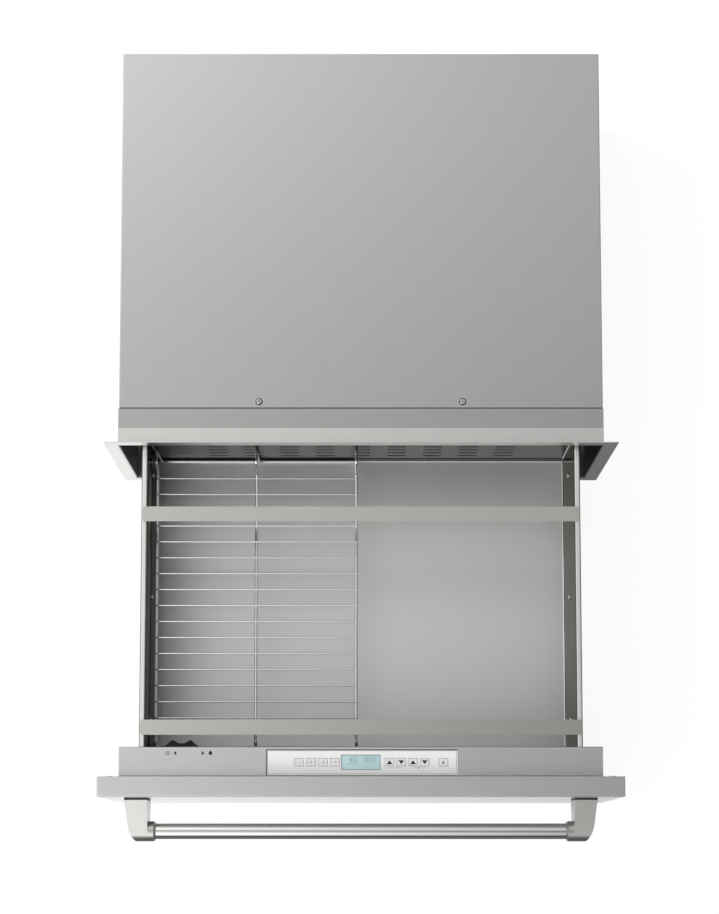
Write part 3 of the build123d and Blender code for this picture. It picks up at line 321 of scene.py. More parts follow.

# ---- metals

# Stainless sheet brushed with a belt: its fine straight scratches blur what it mirrors and hardly show as
# streaks at this distance, and the thin sheet is slightly wavy. The real scratches are about 0.1 mm wide and
# are drawn 0.9 mm wide here. Upright faces can get painted shade, a darker colour and edge tint with a duller
# finish, and punched edges painted shade in a dark colour.
def brushedStainless(name, finish):
    material = startMaterial(name)
    tree = material.node_tree
    grain = [finish["grainWidth"]] * 3
    grain["xyz".index(finish["along"])] = finish["grainLength"]
    streaks = noiseIn(tree, grain, 2.0)
    waves = noiseIn(tree, [finish["waveSize"]] * 3, 1.0)
    tone = hexToLinear(finish["colour"])
    darker = [c * (1 - finish["streak"]) for c in tone[:3]] + [1.0]
    share = addNode(tree, "ShaderNodeMapRange", inputs={"Value": streaks, **noiseRange})
    colour = addNode(tree, "ShaderNodeMix", {"data_type": "RGBA"}, {0: share, 6: darker, 7: tone}).outputs[2]
    vary = finish["roughnessVary"]
    rough = addNode(
        tree, "ShaderNodeMapRange",
        inputs={
            "Value": streaks,
            **noiseRange,
            "To Min": finish["roughness"] - vary,
            "To Max": finish["roughness"] + vary,
        },
    )
    edgeTint = white
    # Painted shade: upright faces get a darker colour and a darker edge tint, by the height of the normal.
    if "uprightShadeColour" in finish:
        normal = addNode(tree, "ShaderNodeNewGeometry").outputs["Normal"]
        level = addNode(tree, "ShaderNodeSeparateXYZ", inputs={0: normal}).outputs["Z"]
        level = addNode(tree, "ShaderNodeMath", {"operation": "ABSOLUTE"}, {0: level})
        level = addNode(
            tree, "ShaderNodeMapRange",
            inputs={
                "Value": level,
                "From Min": finish["levelRange"][0],
                "From Max": finish["levelRange"][1],
            },
        )
        colour = addNode(
            tree, "ShaderNodeMix", {"data_type": "RGBA"},
            {0: level, 6: hexToLinear(finish["uprightShadeColour"]), 7: colour},
        ).outputs[2]
        edgeTint = addNode(
            tree, "ShaderNodeMix", {"data_type": "RGBA"},
            {0: level, 6: hexToLinear(finish["uprightShadeEdge"]), 7: white},
        ).outputs[2]
        rough = addNode(
            tree, "ShaderNodeMix", {"data_type": "FLOAT"}, {0: level, 2: finish["uprightRoughness"], 3: rough}
        )
    # Painted shade: the punched edges in a band of the sheet's thickness are coloured dark.
    if "cutFrom" in finish:
        place = addNode(tree, "ShaderNodeTexCoord").outputs["Object"]
        axes = addNode(tree, "ShaderNodeSeparateXYZ", inputs={0: place})
        half = (finish["cutTo"] - finish["cutFrom"]) / 2
        fromMiddle = addNode(
            tree, "ShaderNodeMath", {"operation": "SUBTRACT"},
            {0: axes.outputs["Y"], 1: finish["cutFrom"] + half},
        )
        fromMiddle = addNode(tree, "ShaderNodeMath", {"operation": "ABSOLUTE"}, {0: fromMiddle})
        inSheet = addNode(
            tree, "ShaderNodeMath", {"operation": "LESS_THAN"},
            {0: fromMiddle, 1: half * finish["cutShare"]},
        )
        below = addNode(
            tree, "ShaderNodeMath", {"operation": "LESS_THAN"},
            {0: axes.outputs["Z"], 1: finish["cutTop"]},
        )
        isCut = addNode(tree, "ShaderNodeMath", {"operation": "MULTIPLY"}, {0: inSheet, 1: below})
        colour = addNode(
            tree, "ShaderNodeMix", {"data_type": "RGBA"},
            {0: isCut, 6: colour, 7: hexToLinear(finish["cutShadeColour"])},
        ).outputs[2]
        cutRough = addNode(
            tree, "ShaderNodeMath", {"operation": "MULTIPLY"}, {0: isCut, 1: finish["cutRoughness"]}
        )
        rough = addNode(tree, "ShaderNodeMath", {"operation": "MAXIMUM"}, {0: rough, 1: cutRough})
    scratched = addNode(
        tree, "ShaderNodeBump",
        inputs={"Strength": 1.0, "Distance": finish["grainDepth"] * mm, "Height": streaks},
    )
    wavy = addNode(
        tree, "ShaderNodeBump",
        inputs={
            "Strength": 1.0,
            "Distance": finish["waveDepth"] * mm,
            "Height": waves,
            "Normal": scratched,
        },
    )
    shader = addNode(
        tree, "ShaderNodeBsdfPrincipled",
        inputs={
            "Base Color": colour,
            "Metallic": 1.0,
            "Roughness": rough,
            "Specular Tint": edgeTint,
            "Normal": wavy,
        },
    )
    return endMaterial(material, shader)


brushed = {
    "colour": "#d0d1cf",
    "streak": 0.03,  # how much darker the scratches are
    "along": "x",
    "grainWidth": 0.9,  # mm, as every length here
    "grainLength": 70,
    "grainDepth": 0.001,
    "waveSize": 260,
    "waveDepth": 0.12,
    "roughness": 0.33,
    "roughnessVary": 0.02,
}
coverSteel = brushedStainless(
    "brushed_stainless_wrapper", {**brushed, "along": "y", "colour": "#cacbc8", "roughness": 0.3}
)
# Shaded and lit copies of the brushed steel: the ring's darker tone is painted shade, the trim flange's
# lighter tone painted light.
shadedRingSteel = brushedStainless("brushed_stainless_ring", {**brushed, "colour": "#c0c1be"})
litTrimSteel = brushedStainless("brushed_stainless_trim", {**brushed, "colour": "#e7e7e4"})
doorSteel = brushedStainless("brushed_stainless_door", {**brushed, "colour": "#e2e3e1", "waveSize": 400})
deckSteel = brushedStainless("brushed_stainless_deck", {**brushed, "colour": "#e2e3e1", "waveSize": 300})
barSteel = brushedStainless(
    "brushed_stainless_cross_bar",
    {**brushed, "colour": "#e3e2dc", "waveDepth": 0.05, "waveSize": 120, "roughness": 0.24},
)
# Bright annealed sheet, rolled and not brushed: hazy where it lies level, as on the pan's floor and the
# rails, and a clearer mirror where it stands upright, with painted shade there: a darker colour and edge
# tint.
annealed = {
    **brushed,
    "colour": "#e7e8e7",
    "streak": 0.01,
    "grainDepth": 0.0005,
    # painted shade on the upright faces
    "uprightShadeColour": "#838582",
    "uprightShadeEdge": "#e0e2e0",
    "levelRange": (0.85, 0.98),  # height of the normal, from upright to level
}
linerSteel = brushedStainless(
    "bright_annealed_stainless", {**annealed, "roughness": 0.34, "uprightRoughness": 0.2}
)
sideSteel = brushedStainless(
    "bright_annealed_stainless_side",
    {
        **annealed,
        "colour": "#ecece9",
        "roughness": 0.46,
        # painted shade on the upright faces of the sides
        "uprightShadeColour": "#8c8e8b",
        "uprightShadeEdge": "#94968f",
        "uprightRoughness": 0.1,
    },
)
panValues = {
    "sheet": 1,  # mm
    "rearLeg": 8,  # turned out at the top of the back wall
    "cutBelow": 4,  # top of the pan to where punched edges can be
}
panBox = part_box("drawer_pan")
panBack = panBox[1].y - panValues["rearLeg"] * mm
# The edges punched for the louvres in the back wall are dull, and painted dark as shade for the dark duct
# behind the slots.
panSteel = brushedStainless(
    "bright_annealed_stainless_pan",
    {
        **annealed,
        "colour": "#dcdedc",
        "roughness": 0.48,
        "uprightRoughness": 0.24,
        "cutFrom": panBack - panValues["sheet"] * mm,  # metres along Y
        "cutTo": panBack,
        "cutTop": panBox[1].z - panValues["cutBelow"] * mm,
        "cutShare": 0.96,  # of the sheet's thickness
        "cutShadeColour": "#2c2d2c",
        "cutRoughness": 0.6,
    },
)
print("steels made")


# Polished metal, buffed or plated: mirror bands, with a faint haze in patches that lie along the bar.
polished = {"hazePatch": (14, 3, 3), "roughnessVary": 0.04}  # mm


def polishedMetal(name, colour, roughness):
    material = startMaterial(name)
    tree = material.node_tree
    haze = noiseIn(tree, polished["hazePatch"], 2.0)
    rough = addNode(
        tree, "ShaderNodeMapRange",
        inputs={
            "Value": haze,
            **noiseRange,
            "To Min": roughness,
            "To Max": roughness + polished["roughnessVary"],
        },
    )
    shader = addNode(
        tree, "ShaderNodeBsdfPrincipled",
        inputs={
            "Base Color": hexToLinear(colour),
            "Metallic": 1.0,
            "Roughness": rough,
        },
    )
    return endMaterial(material, shader)


handleSteel = polishedMetal("buffed_stainless_handle", "#e4e4e2", 0.04)
bracketSteel = polishedMetal("satin_stainless_bracket", "#bfbfbc", 0.33)
rackWire = polishedMetal("nickel_chrome_plated_wire", "#f4f4f4", 0.03)
screwSteel = polishedMetal("bright_stainless_screw", "#d8d8d4", 0.2)


# Zinc on steel: plated parts are bluish and satin, hot-dip sheet has a dull spangle of flat crystals.
zinc = {"smoother": 0.06, "rougher": 0.08}  # of single crystals


def zincOnSteel(name, colour, darkColour, spangle, roughness):
    material = startMaterial(name)
    tree = material.node_tree
    place = addNode(tree, "ShaderNodeTexCoord").outputs["Object"]
    cells = addNode(
        tree, "ShaderNodeTexVoronoi", inputs={"Vector": place, "Scale": 1 / (spangle * mm)}
    ).outputs["Color"]
    shade = addNode(tree, "ShaderNodeSeparateColor", inputs={0: cells})
    tint = addNode(
        tree, "ShaderNodeMix", {"data_type": "RGBA"},
        {0: shade, 6: hexToLinear(darkColour), 7: hexToLinear(colour)},
    ).outputs[2]
    rough = addNode(
        tree, "ShaderNodeMapRange",
        inputs={
            "Value": shade,
            "To Min": roughness - zinc["smoother"],
            "To Max": roughness + zinc["rougher"],
        },
    )
    shader = addNode(
        tree, "ShaderNodeBsdfPrincipled",
        inputs={
            "Base Color": tint,
            "Metallic": 1.0,
            "Roughness": rough,
        },
    )
    return endMaterial(material, shader)


runnerSteel = zincOnSteel("zinc_plated_runner", "#c4c8cc", "#bcc0c4", 0.8, 0.3)
galvanisedSheet = zincOnSteel("hot_dip_galvanised_sheet", "#b9bdbf", "#a4a8ab", 9, 0.42)
print("metals made")


# ---- plastics, glass and others

# A moulded surface: one colour with a fine grain from the mould, in height and in gloss.
moulded = {"hollowShade": 0.96, "roughnessVary": 0.05, "ior": 1.5}


def mouldedPlastic(name, colour, roughness, grain, depth, specular=0.5):
    material = startMaterial(name)
    tree = material.node_tree
    texture = noiseIn(tree, [grain] * 3, 2.0)
    tone = hexToLinear(colour)
    darker = [c * moulded["hollowShade"] for c in tone[:3]] + [1.0]
    vary = moulded["roughnessVary"]
    share = addNode(tree, "ShaderNodeMapRange", inputs={"Value": texture, **noiseRange})
    tint = addNode(tree, "ShaderNodeMix", {"data_type": "RGBA"}, {0: share, 6: darker, 7: tone}).outputs[2]
    rough = addNode(
        tree, "ShaderNodeMapRange",
        inputs={"Value": texture, **noiseRange, "To Min": roughness - vary, "To Max": roughness + vary},
    )
    grained = addNode(
        tree, "ShaderNodeBump", inputs={"Strength": 1.0, "Distance": depth * mm, "Height": texture}
    )
    shader = addNode(
        tree, "ShaderNodeBsdfPrincipled",
        inputs={
            "Base Color": tint,
            "Roughness": rough,
            "IOR": moulded["ior"],
            "Specular IOR Level": specular,
            "Normal": grained,
        },
    )
    return endMaterial(material, shader)


panelPlastic = mouldedPlastic("satin_moulded_abs_white", "#e8e8e7", 0.38, 0.5, 0.003)
keyPlastic = mouldedPlastic("satin_moulded_abs_key", "#e2e2e1", 0.4, 0.5, 0.003)
blackPlastic = mouldedPlastic("grained_moulded_polyamide_black", "#26272a", 0.5, 0.6, 0.01)
terminalPlastic = mouldedPlastic("moulded_polyamide_ivory", "#d8d5c6", 0.45, 0.6, 0.006)
blackRubberAndShade = mouldedPlastic("moulded_rubber_and_painted_shade_black", "#2b2b2b", 0.7, 0.8, 0.02)
paleSiliconeAndHighlight = mouldedPlastic("moulded_silicone_pale_and_painted_highlight", "#d6d8d7", 0.5, 0.8, 0.01)
darkPaintedShade = mouldedPlastic("dark_painted_shade", "#2a2b2a", 0.75, 0.8, 0.02)
printInk = mouldedPlastic("screen_printed_ink_dark", "#1f2021", 0.6, 0.3, 0.001)
greyInk = mouldedPlastic("screen_printed_ink_grey", "#7a7c7e", 0.6, 0.3, 0.001)
paleInk = mouldedPlastic("screen_printed_ink_pale", "#a4a6a7", 0.6, 0.3, 0.001)
segmentInk = mouldedPlastic("liquid_crystal_segment", "#86adb5", 0.5, 0.3, 0.001)
elementSheath = mouldedPlastic("oxidised_heater_sheath", "#3f4444", 0.55, 0.4, 0.01)
circuitBoard = mouldedPlastic("solder_masked_glass_epoxy", "#1f5a34", 0.35, 2.5, 0.01)
glassWool = mouldedPlastic("needled_glass_wool", "#cfc7a0", 0.95, 1.4, 0.6, 0.1)


# Back-lit liquid crystal: an even pale cyan glow, a little deeper to the right.
def backlitDisplay(name, colour, deepColour, glow):
    material = startMaterial(name)
    tree = material.node_tree
    low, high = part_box("display_window")
    place = addNode(tree, "ShaderNodeTexCoord").outputs["Object"]
    axes = addNode(tree, "ShaderNodeSeparateXYZ", inputs={0: place})
    across = addNode(
        tree, "ShaderNodeMapRange",
        inputs={"Value": axes.outputs["X"], "From Min": low.x, "From Max": high.x},
    )
    tone = addNode(
        tree, "ShaderNodeMix", {"data_type": "RGBA"},
        {0: across, 6: hexToLinear(colour), 7: hexToLinear(deepColour)},
    ).outputs[2]
    shader = addNode(
        tree, "ShaderNodeBsdfPrincipled",
        inputs={
            "Base Color": tone,
            "Roughness": 0.3,
            "Emission Color": tone,
            "Emission Strength": glow,
        },
    )
    return endMaterial(material, shader)


displayGlass = backlitDisplay("backlit_liquid_crystal", "#bcd6d9", "#b0cdd1", 0.3)


# Clear polycarbonate window: smooth, thin, and only its gloss shows.
window = {"colour": "#ffffff", "smearPatch": 6, "smearRange": (0.03, 0.09), "ior": 1.49, "glossBlend": 0.3}


def clearWindow(name):
    material = startMaterial(name)
    tree = material.node_tree
    smear = noiseIn(tree, [window["smearPatch"]] * 3, 2.0)
    rough = addNode(
        tree, "ShaderNodeMapRange",
        inputs={
            "Value": smear,
            **noiseRange,
            "To Min": window["smearRange"][0],
            "To Max": window["smearRange"][1],
        },
    )
    glass = addNode(
        tree, "ShaderNodeBsdfPrincipled",
        inputs={
            "Base Color": hexToLinear(window["colour"]),
            "Roughness": rough,
            "IOR": window["ior"],
            "Transmission Weight": 1.0,
        },
    )
    through = addNode(tree, "ShaderNodeBsdfTransparent")
    gloss = addNode(tree, "ShaderNodeLayerWeight", inputs={"Blend": window["glossBlend"]}).outputs["Fresnel"]
    both = addNode(tree, "ShaderNodeMixShader", inputs={0: gloss, 1: through, 2: glass})
    return endMaterial(material, both)


windowPlastic = clearWindow("clear_polycarbonate_window")
print("plastics made")

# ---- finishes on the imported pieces

slotFinishes = {
    "outer_steel": coverSteel,
    "liner_steel": linerSteel,
    "handle_steel": handleSteel,
    "rack_wire": rackWire,
    "runner_steel": runnerSteel,
    "galvanised": galvanisedSheet,
    "screw_steel": screwSteel,
    "panel_plastic": panelPlastic,
    "key_plastic": keyPlastic,
    "black_plastic": blackPlastic,
    "window_glass": windowPlastic,
    "display": displayGlass,
    "circuit_board": circuitBoard,
    "glass_wool": glassWool,
    "element_sheath": elementSheath,
    "rubber": blackRubberAndShade,
    "terminal_plastic": terminalPlastic,
}
ownFinishes = {
    "front_ring": shadedRingSteel,
    "trim_flange": litTrimSteel,
    "door_skin": doorSteel,
    "control_deck": deckSteel,
    "front_cross_bar": barSteel,
    "rear_cross_bar": barSteel,
    "handle_bracket_left": bracketSteel,
    "handle_bracket_right": bracketSteel,
    "drawer_pan": panSteel,
    "drawer_side_left": sideSteel,
    "drawer_side_right": sideSteel,
    "door_bumpers": paleSiliconeAndHighlight,
}
for part in frame["record"]["subparts"]:
    finish = ownFinishes.get(part["node"], slotFinishes[part["material_slot"]])
    mesh = frame["nodes"][part["node"]].data
    mesh.materials.clear()
    mesh.materials.append(finish)
print("finishes set")


# ---- small shapes

# Makes a piece from what build adds to its mesh.
def makePiece(name, body, material, build):
    mesh = bpy.data.meshes.new(name)
    shape = bmesh.new()
    build(shape)
    bmesh.ops.recalc_face_normals(shape, faces=shape.faces)
    shape.to_mesh(mesh)
    shape.free()
    mesh.materials.append(material)
    piece = bpy.data.objects.new(name, mesh)
    scene.collection.objects.link(piece)
    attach(piece, body)


# Joins closed rings of points into a skin. The rings run from the bottom up.
def addRings(shape, rings, closed):
    made = [[shape.verts.new(point) for point in ring] for ring in rings]
    count = len(rings[0])
    for lower, upper in zip(made, made[1:] + made[:1] if closed else made[1:]):
        for i in range(count):
            j = (i + 1) % count
            shape.faces.new((lower[i], lower[j], upper[j], upper[i]))
    if not closed:
        shape.faces.new(made[0][::-1])
        shape.faces.new(made[-1])


def atLevel(outline, level):
    return [(x, y, level) for x, y in outline]


# A flat plate with the given outline, from low to high.
def addPlate(shape, outline, low, high):
    addRings(shape, [atLevel(outline, low), atLevel(outline, high)], False)


# A line of even width along a closed outline.
def addLoop(shape, outer, inner, low, high):
    rings = [atLevel(outer, low), atLevel(inner, low), atLevel(inner, high), atLevel(outer, high)]
    addRings(shape, rings, True)


# A rectangle with rounded corners about a middle, or a circle when the radius is half of both sides.
def roundedOutline(x, y, width, length, radius, steps=5):
    points = []
    for sideX, sideY, start in ((1, 1, 0), (-1, 1, 90), (-1, -1, 180), (1, -1, 270)):
        cx = x + sideX * (width / 2 - radius)
        cy = y + sideY * (length / 2 - radius)
        for step in range(steps + 1):
            turn = math.radians(start + 90 * step / steps)
            points.append((cx + radius * math.cos(turn), cy + radius * math.sin(turn)))
    return points


# Prints are drawn as thin plates, which lie a little over the surface that carries them.
printThickness = 0.03 * mm
printLift = 0.01 * mm


def printPlate(shape, outline, level):
    addPlate(shape, outline, level, level + printThickness)


def printLoop(shape, outer, inner, level):
    addLoop(shape, outer, inner, level, level + printThickness)


def printBar(shape, x0, x1, y0, y1, level):
    printPlate(shape, [(x0, y0), (x1, y0), (x1, y1), (x0, y1)], level)


# Bars of a seven-bar digit, as (x, y, width, length) shares of the digit's size.
digitBars = {
    "top": (0, 1, 1, 0),
    "middle": (0, 0, 1, 0),
    "bottom": (0, -1, 1, 0),
    "upperLeft": (-1, 0.5, 0, 1),
    "upperRight": (1, 0.5, 0, 1),
    "lowerLeft": (-1, -0.5, 0, 1),
    "lowerRight": (1, -0.5, 0, 1),
}
digitShapes = {
    "0": ("top", "bottom", "upperLeft", "upperRight", "lowerLeft", "lowerRight"),
    "1": ("upperRight", "lowerRight"),
    "2": ("top", "upperRight", "middle", "lowerLeft", "bottom"),
    "3": ("top", "upperRight", "middle", "lowerRight", "bottom"),
    "4": ("upperLeft", "upperRight", "middle", "lowerRight"),
    "6": ("top", "upperLeft", "middle", "lowerLeft", "lowerRight", "bottom"),
}


digitGap = 0.2  # at the ends of a bar, as a share of its width


def printDigit(shape, digit, x, y, width, length, line, level):
    gap = line * digitGap
    for bar in digitShapes[digit]:
        dx, dy, across, along = digitBars[bar]
        cx = x + dx * width / 2
        cy = y + dy * length / 2
        halfX = (across * (width - line) / 2 - gap) if across else line / 2
        halfY = (along * (length - line) / 4 + line / 4 - gap) if along else line / 2
        printBar(shape, cx - halfX, cx + halfX, cy - halfY, cy + halfY, level)


# ---- printed marks on the keys

# The print is generic: a plain number between two dashes, an arrow or a padlock, each in an outlined box.
printValues = {
    "faceWidth": 13.1,  # mm, smaller than the key's node, which has a rim under the panel
    "faceLength": 11.1,
    "boxInset": 0.15,  # key edge to the printed box
    "boxLine": 0.5,
    "boxCorner": 0.9,
    "boxInnerCorner": 0.5,
    "digitWidth": 2.6,
    "digitLength": 4.0,
    "digitLine": 0.7,
    "dashPlace": 3.9,  # to each side of the number
    "dashLength": 2.2,
    "dashHalfLine": 0.3,
    "arrowHalfWidth": 4.3,
    "arrowLength": 5.7,
    "lockWidth": 3.6,
    "lockLength": 2.8,
    "lockCorner": 0.3,
    "lockDown": 0.9,
    "shackleUp": 1.1,
    "shackleOuter": 2.6,
    "shackleOuterCorner": 1.2,
    "shackleInner": 1.7,
    "shackleInnerCorner": 0.8,
}


def keyTop(node):
    low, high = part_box(node)
    return (low.x + high.x) / 2, (low.y + high.y) / 2, high.z + printLift


def printOn(node, ending, ink, build):
    makePiece(f"{node}_print_{ending}", node, ink, build)


def makeKeyPrints(values):
    size = {name: value * mm for name, value in values.items()}

    def makeBox(node):
        x, y, level = keyTop(node)

        def build(shape):
            width = size["faceWidth"] - 2 * size["boxInset"]
            length = size["faceLength"] - 2 * size["boxInset"]
            line = size["boxLine"]
            outer = roundedOutline(x, y, width, length, size["boxCorner"])
            inner = roundedOutline(x, y, width - 2 * line, length - 2 * line, size["boxInnerCorner"])
            printLoop(shape, outer, inner, level)

        printOn(node, "box", paleInk, build)

    for number in range(1, 5):
        node = f"mode_key_{number}"
        x, y, level = keyTop(node)
        makeBox(node)

        def buildDigit(shape):
            printDigit(
                shape, str(number), x, y, size["digitWidth"], size["digitLength"], size["digitLine"], level
            )
            half = size["dashLength"] / 2
            halfLine = size["dashHalfLine"]
            for side in (-1, 1):
                cx = x + side * size["dashPlace"]
                printBar(shape, cx - half, cx + half, y - halfLine, y + halfLine, level)

        printOn(node, "digit", greyInk, buildDigit)
    for node in ("left_up_key", "left_down_key", "right_up_key", "right_down_key"):
        x, y, level = keyTop(node)
        side = 1 if "up" in node else -1
        makeBox(node)

        def buildArrow(shape):
            half = size["arrowLength"] / 2
            base = y - side * half
            wide = size["arrowHalfWidth"]
            printPlate(shape, [(x - wide, base), (x + wide, base), (x, y + side * half)], level)

        printOn(node, "arrow", printInk, buildArrow)
    x, y, level = keyTop("lock_key")
    makeBox("lock_key")

    def buildLock(shape):
        body = roundedOutline(
            x, y - size["lockDown"], size["lockWidth"], size["lockLength"], size["lockCorner"]
        )
        printPlate(shape, body, level)
        shackle = []
        for edge in ("shackleOuter", "shackleInner"):
            side = size[edge]
            shackle.append(roundedOutline(x, y + size["shackleUp"], side, side, size[edge + "Corner"]))
        printLoop(shape, *shackle, level)

    printOn("lock_key", "lock", greyInk, buildLock)


makeKeyPrints(printValues)

# ---- control panel

panelValues = {
    "frameWidth": 2.4,  # mm, from the panel's edge to where the slope ends
    "frameRise": 1.0,  # above the panel
    "frameFlat": 0.5,
    "frameChamfer": 0.2,
    "frameSlope": (0.5, 0.55),  # in and down, the first and steepest part
    "frameFoot": 0.1,
    "frameCorner": 0.8,
    # the painted shadow round the panel, a dark strip
    "shadowWide": 1.1,
    "shadowNarrow": 0.3,
    "shadowCorner": 0.6,
    "bracketDrop": 8.0,  # below the middle of the keys
    "bracketLine": 0.5,
    "bracketEnd": 1.2,
    "bracketRoom": 2.2,  # for the number, to each side of the middle
    "bracketDigitWidth": 2.0,
    "bracketDigitLength": 3.0,
    "bracketDigitLine": 0.75,
}


# A raised frame round the panel that slopes in to it.
def makePanelFrame(values):
    low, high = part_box("control_panel")
    x = (low.x + high.x) / 2
    y = (low.y + high.y) / 2
    width = high.x - low.x
    length = high.y - low.y
    top = high.z + values["frameRise"] * mm
    flat = values["frameFlat"] * mm
    inset = values["frameWidth"] * mm
    chamfer = values["frameChamfer"] * mm
    slopeIn, slopeDown = values["frameSlope"]
    corner = values["frameCorner"] * mm
    floorLevel = high.z + 2 * printLift

    def build(shape):
        steps = (
            (0, floorLevel),
            (0, top - chamfer),
            (chamfer, top),
            (flat, top),
            (flat + slopeIn * mm, top - slopeDown * mm),
            (inset, floorLevel + values["frameFoot"] * mm),
            (inset, floorLevel),
        )
        rings = []
        for step, level in steps:
            outline = roundedOutline(x, y, width - 2 * step, length - 2 * step, corner)
            rings.append(atLevel(outline, level))
        addRings(shape, rings, True)

    makePiece("panel_frame", "drawer", panelPlastic, build)

    # Painted shadow: a dark strip between the frame and the deck, wider at the left and at the back, where
    # the recess lies in shade.
    def buildGap(shape):
        wide = values["shadowWide"] * mm
        narrow = values["shadowNarrow"] * mm
        outer = roundedOutline(x, y, width, length, corner)
        shift = (wide - narrow) / 2
        both = wide + narrow
        inner = roundedOutline(x + shift, y - shift, width - both, length - both, values["shadowCorner"] * mm)
        printLoop(shape, outer, inner, top + printLift)

    makePiece("panel_painted_shadow", "drawer", darkPaintedShade, buildGap)


# A bracket with a plain number under each pair of arrow keys.
def makePairMarks(values):
    low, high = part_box("control_panel")
    level = high.z + printLift
    line = values["bracketLine"] * mm
    for number, nodes in ((1, ("left_up_key", "left_down_key")), (2, ("right_up_key", "right_down_key"))):
        left = keyTop(nodes[0])[0]
        right = keyTop(nodes[1])[0]
        y = keyTop(nodes[0])[1] - values["bracketDrop"] * mm
        middle = (left + right) / 2

        def build(shape):
            for side, end in ((-1, left), (1, right)):
                inner = middle + side * values["bracketRoom"] * mm
                printBar(shape, min(end, inner), max(end, inner), y - line / 2, y + line / 2, level)
                printBar(shape, end - line / 2, end + line / 2, y, y + values["bracketEnd"] * mm, level)

        makePiece(f"pair_mark_{number}", "drawer", paleInk, build)

        def buildNumber(shape):
            printDigit(
                shape,
                str(number),
                middle,
                y,
                values["bracketDigitWidth"] * mm,
                values["bracketDigitLength"] * mm,
                values["bracketDigitLine"] * mm,
                level,
            )

        makePiece(f"pair_number_{number}", "drawer", printInk, buildNumber)


makePanelFrame(panelValues)
makePairMarks(panelValues)

displayValues = {
    "digitLength": 6.2,  # mm
    "digitWidth": 3.2,
    "line": 0.7,
    "pitch": 4.9,
    "rise": 3.6,  # of the digits above the middle of the window
    "leftStart": -17,  # first digits, from the middle of the window
    "rightStart": 3.5,
    "colonRoom": 1.4,
    "colonHalfRise": 1.4,
    "dot": 0.8,
    "dotCorner": 0.2,
    "underHalf": 1.8,  # bars under the digits on the left
    "underTop": 5.7,
    "underBottom": 6.3,
    "border": 0.7,
    "borderRise": 0.12,
    "borderCorner": 0.4,
    "borderInnerCorner": 0.3,
    "left": "160",
    "right": "1000",
}


# The segments: a plain temperature on the left with a short bar under each digit, and a plain time on the
# right.
def makeDisplayDigits(values):
    low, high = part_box("display_window")
    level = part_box("display_module")[1].z + 2 * printLift
    x = (low.x + high.x) / 2
    middleY = (low.y + high.y) / 2
    y = middleY + values["rise"] * mm
    pitch = values["pitch"] * mm
    leftStart = x + values["leftStart"] * mm
    rightStart = x + values["rightStart"] * mm
    room = values["colonRoom"] * mm

    def build(shape):
        for text, start in ((values["left"], leftStart), (values["right"], rightStart)):
            for place, digit in enumerate(text):
                shift = room if len(text) == 4 and place > 1 else 0
                printDigit(
                    shape,
                    digit,
                    start + place * pitch + shift,
                    y,
                    values["digitWidth"] * mm,
                    values["digitLength"] * mm,
                    values["line"] * mm,
                    level,
                )
        dot = values["dot"] * mm
        colonX = rightStart + 1.5 * pitch + room / 2
        for side in (-1, 1):
            colonY = y + side * values["colonHalfRise"] * mm
            printPlate(shape, roundedOutline(colonX, colonY, dot, dot, values["dotCorner"] * mm, 2), level)
        half = values["underHalf"] * mm
        bottom = y - values["underBottom"] * mm
        top = y - values["underTop"] * mm
        for place in range(len(values["left"])):
            cx = leftStart + place * pitch
            printBar(shape, cx - half, cx + half, bottom, top, level)

    makePiece("display_digits", "drawer", segmentInk, build)

    def buildBorder(shape):
        border = values["border"] * mm
        width = high.x - low.x
        length = high.y - low.y
        outer = roundedOutline(x, middleY, width, length, values["borderCorner"] * mm)
        inner = roundedOutline(
            x, middleY, width - 2 * border, length - 2 * border, values["borderInnerCorner"] * mm
        )
        addLoop(shape, outer, inner, high.z + printLift, high.z + values["borderRise"] * mm)

    makePiece("display_border", "drawer", greyInk, buildBorder)


makeDisplayDigits(displayValues)

# ---- marks on the deck over the moisture slider

deckValues = {
    "leftArrow": (-0.2695, -0.4538),  # metres
    "rightArrow": (-0.2287, -0.4538),
    "ring": (-0.2800, -0.4538),
    "drop": (-0.2180, -0.4538),
    "arrowSize": 3.3,  # mm, half of its height
    "arrowSlim": 0.6,  # half of its width, as a share of that
    "markSize": 2.7,  # radius
    "ringHole": 0.65,  # share of that
    "dropPoint": 1.5,
    "dropSteps": 12,
}


# Left is dry, an open ring, and right is moist, a filled drop.
def makeDeckMarks(values):
    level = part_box("control_deck")[1].z + printLift
    size = values["arrowSize"] * mm
    slim = size * values["arrowSlim"]
    mark = values["markSize"] * mm
    hole = values["ringHole"] * mark
    steps = values["dropSteps"]

    def build(shape):
        for side, (x, y) in ((-1, values["leftArrow"]), (1, values["rightArrow"])):
            back = x - side * slim
            printPlate(shape, [(back, y - size), (x + side * slim, y), (back, y + size)], level)
        x, y = values["ring"]
        outer = roundedOutline(x, y, 2 * mark, 2 * mark, mark)
        inner = roundedOutline(x, y, 2 * hole, 2 * hole, hole)
        printLoop(shape, outer, inner, level)
        x, y = values["drop"]
        drop = [(x, y + values["dropPoint"] * mark)]
        for step in range(steps + 1):
            turn = math.radians(150 + 240 * step / steps)
            drop.append((x + mark * math.cos(turn), y + mark * math.sin(turn)))
        printPlate(shape, drop, level)

    makePiece("moisture_marks", "drawer", printInk, build)


makeDeckMarks(deckValues)
print("prints made")

# ---- painted shade in the case's joint and at its cover screws, and painted highlights in the pan's corners

caseValues = {
    "shadowStripWidth": 1.0,  # mm
    "shadowStripAhead": 1.1,  # its front, before the edge of the cover
    "shadowStripDepth": 0.95,
    "shadowStripInset": 1.6,
    "shadowStripLip": 0.35,  # over the sheet at each side
    "shadowStripRise": 0.15,
    "shadeRingInner": 4.05,  # radii
    "shadeRingOuter": 5.4,
    "shadeRingRise": 0.5,
    "shadeRingSlope": (0.3, 0.7),  # of the top: in by this much, down to this share of the rise
    "recessRadius": 1.25,
    "recessDepth": 0.4,
    "recessUnder": 0.1,  # its top, under the highest point of the screw
    "coverScrews": ((-0.150, 0.0642), (0.150, 0.0642)),  # metres
}
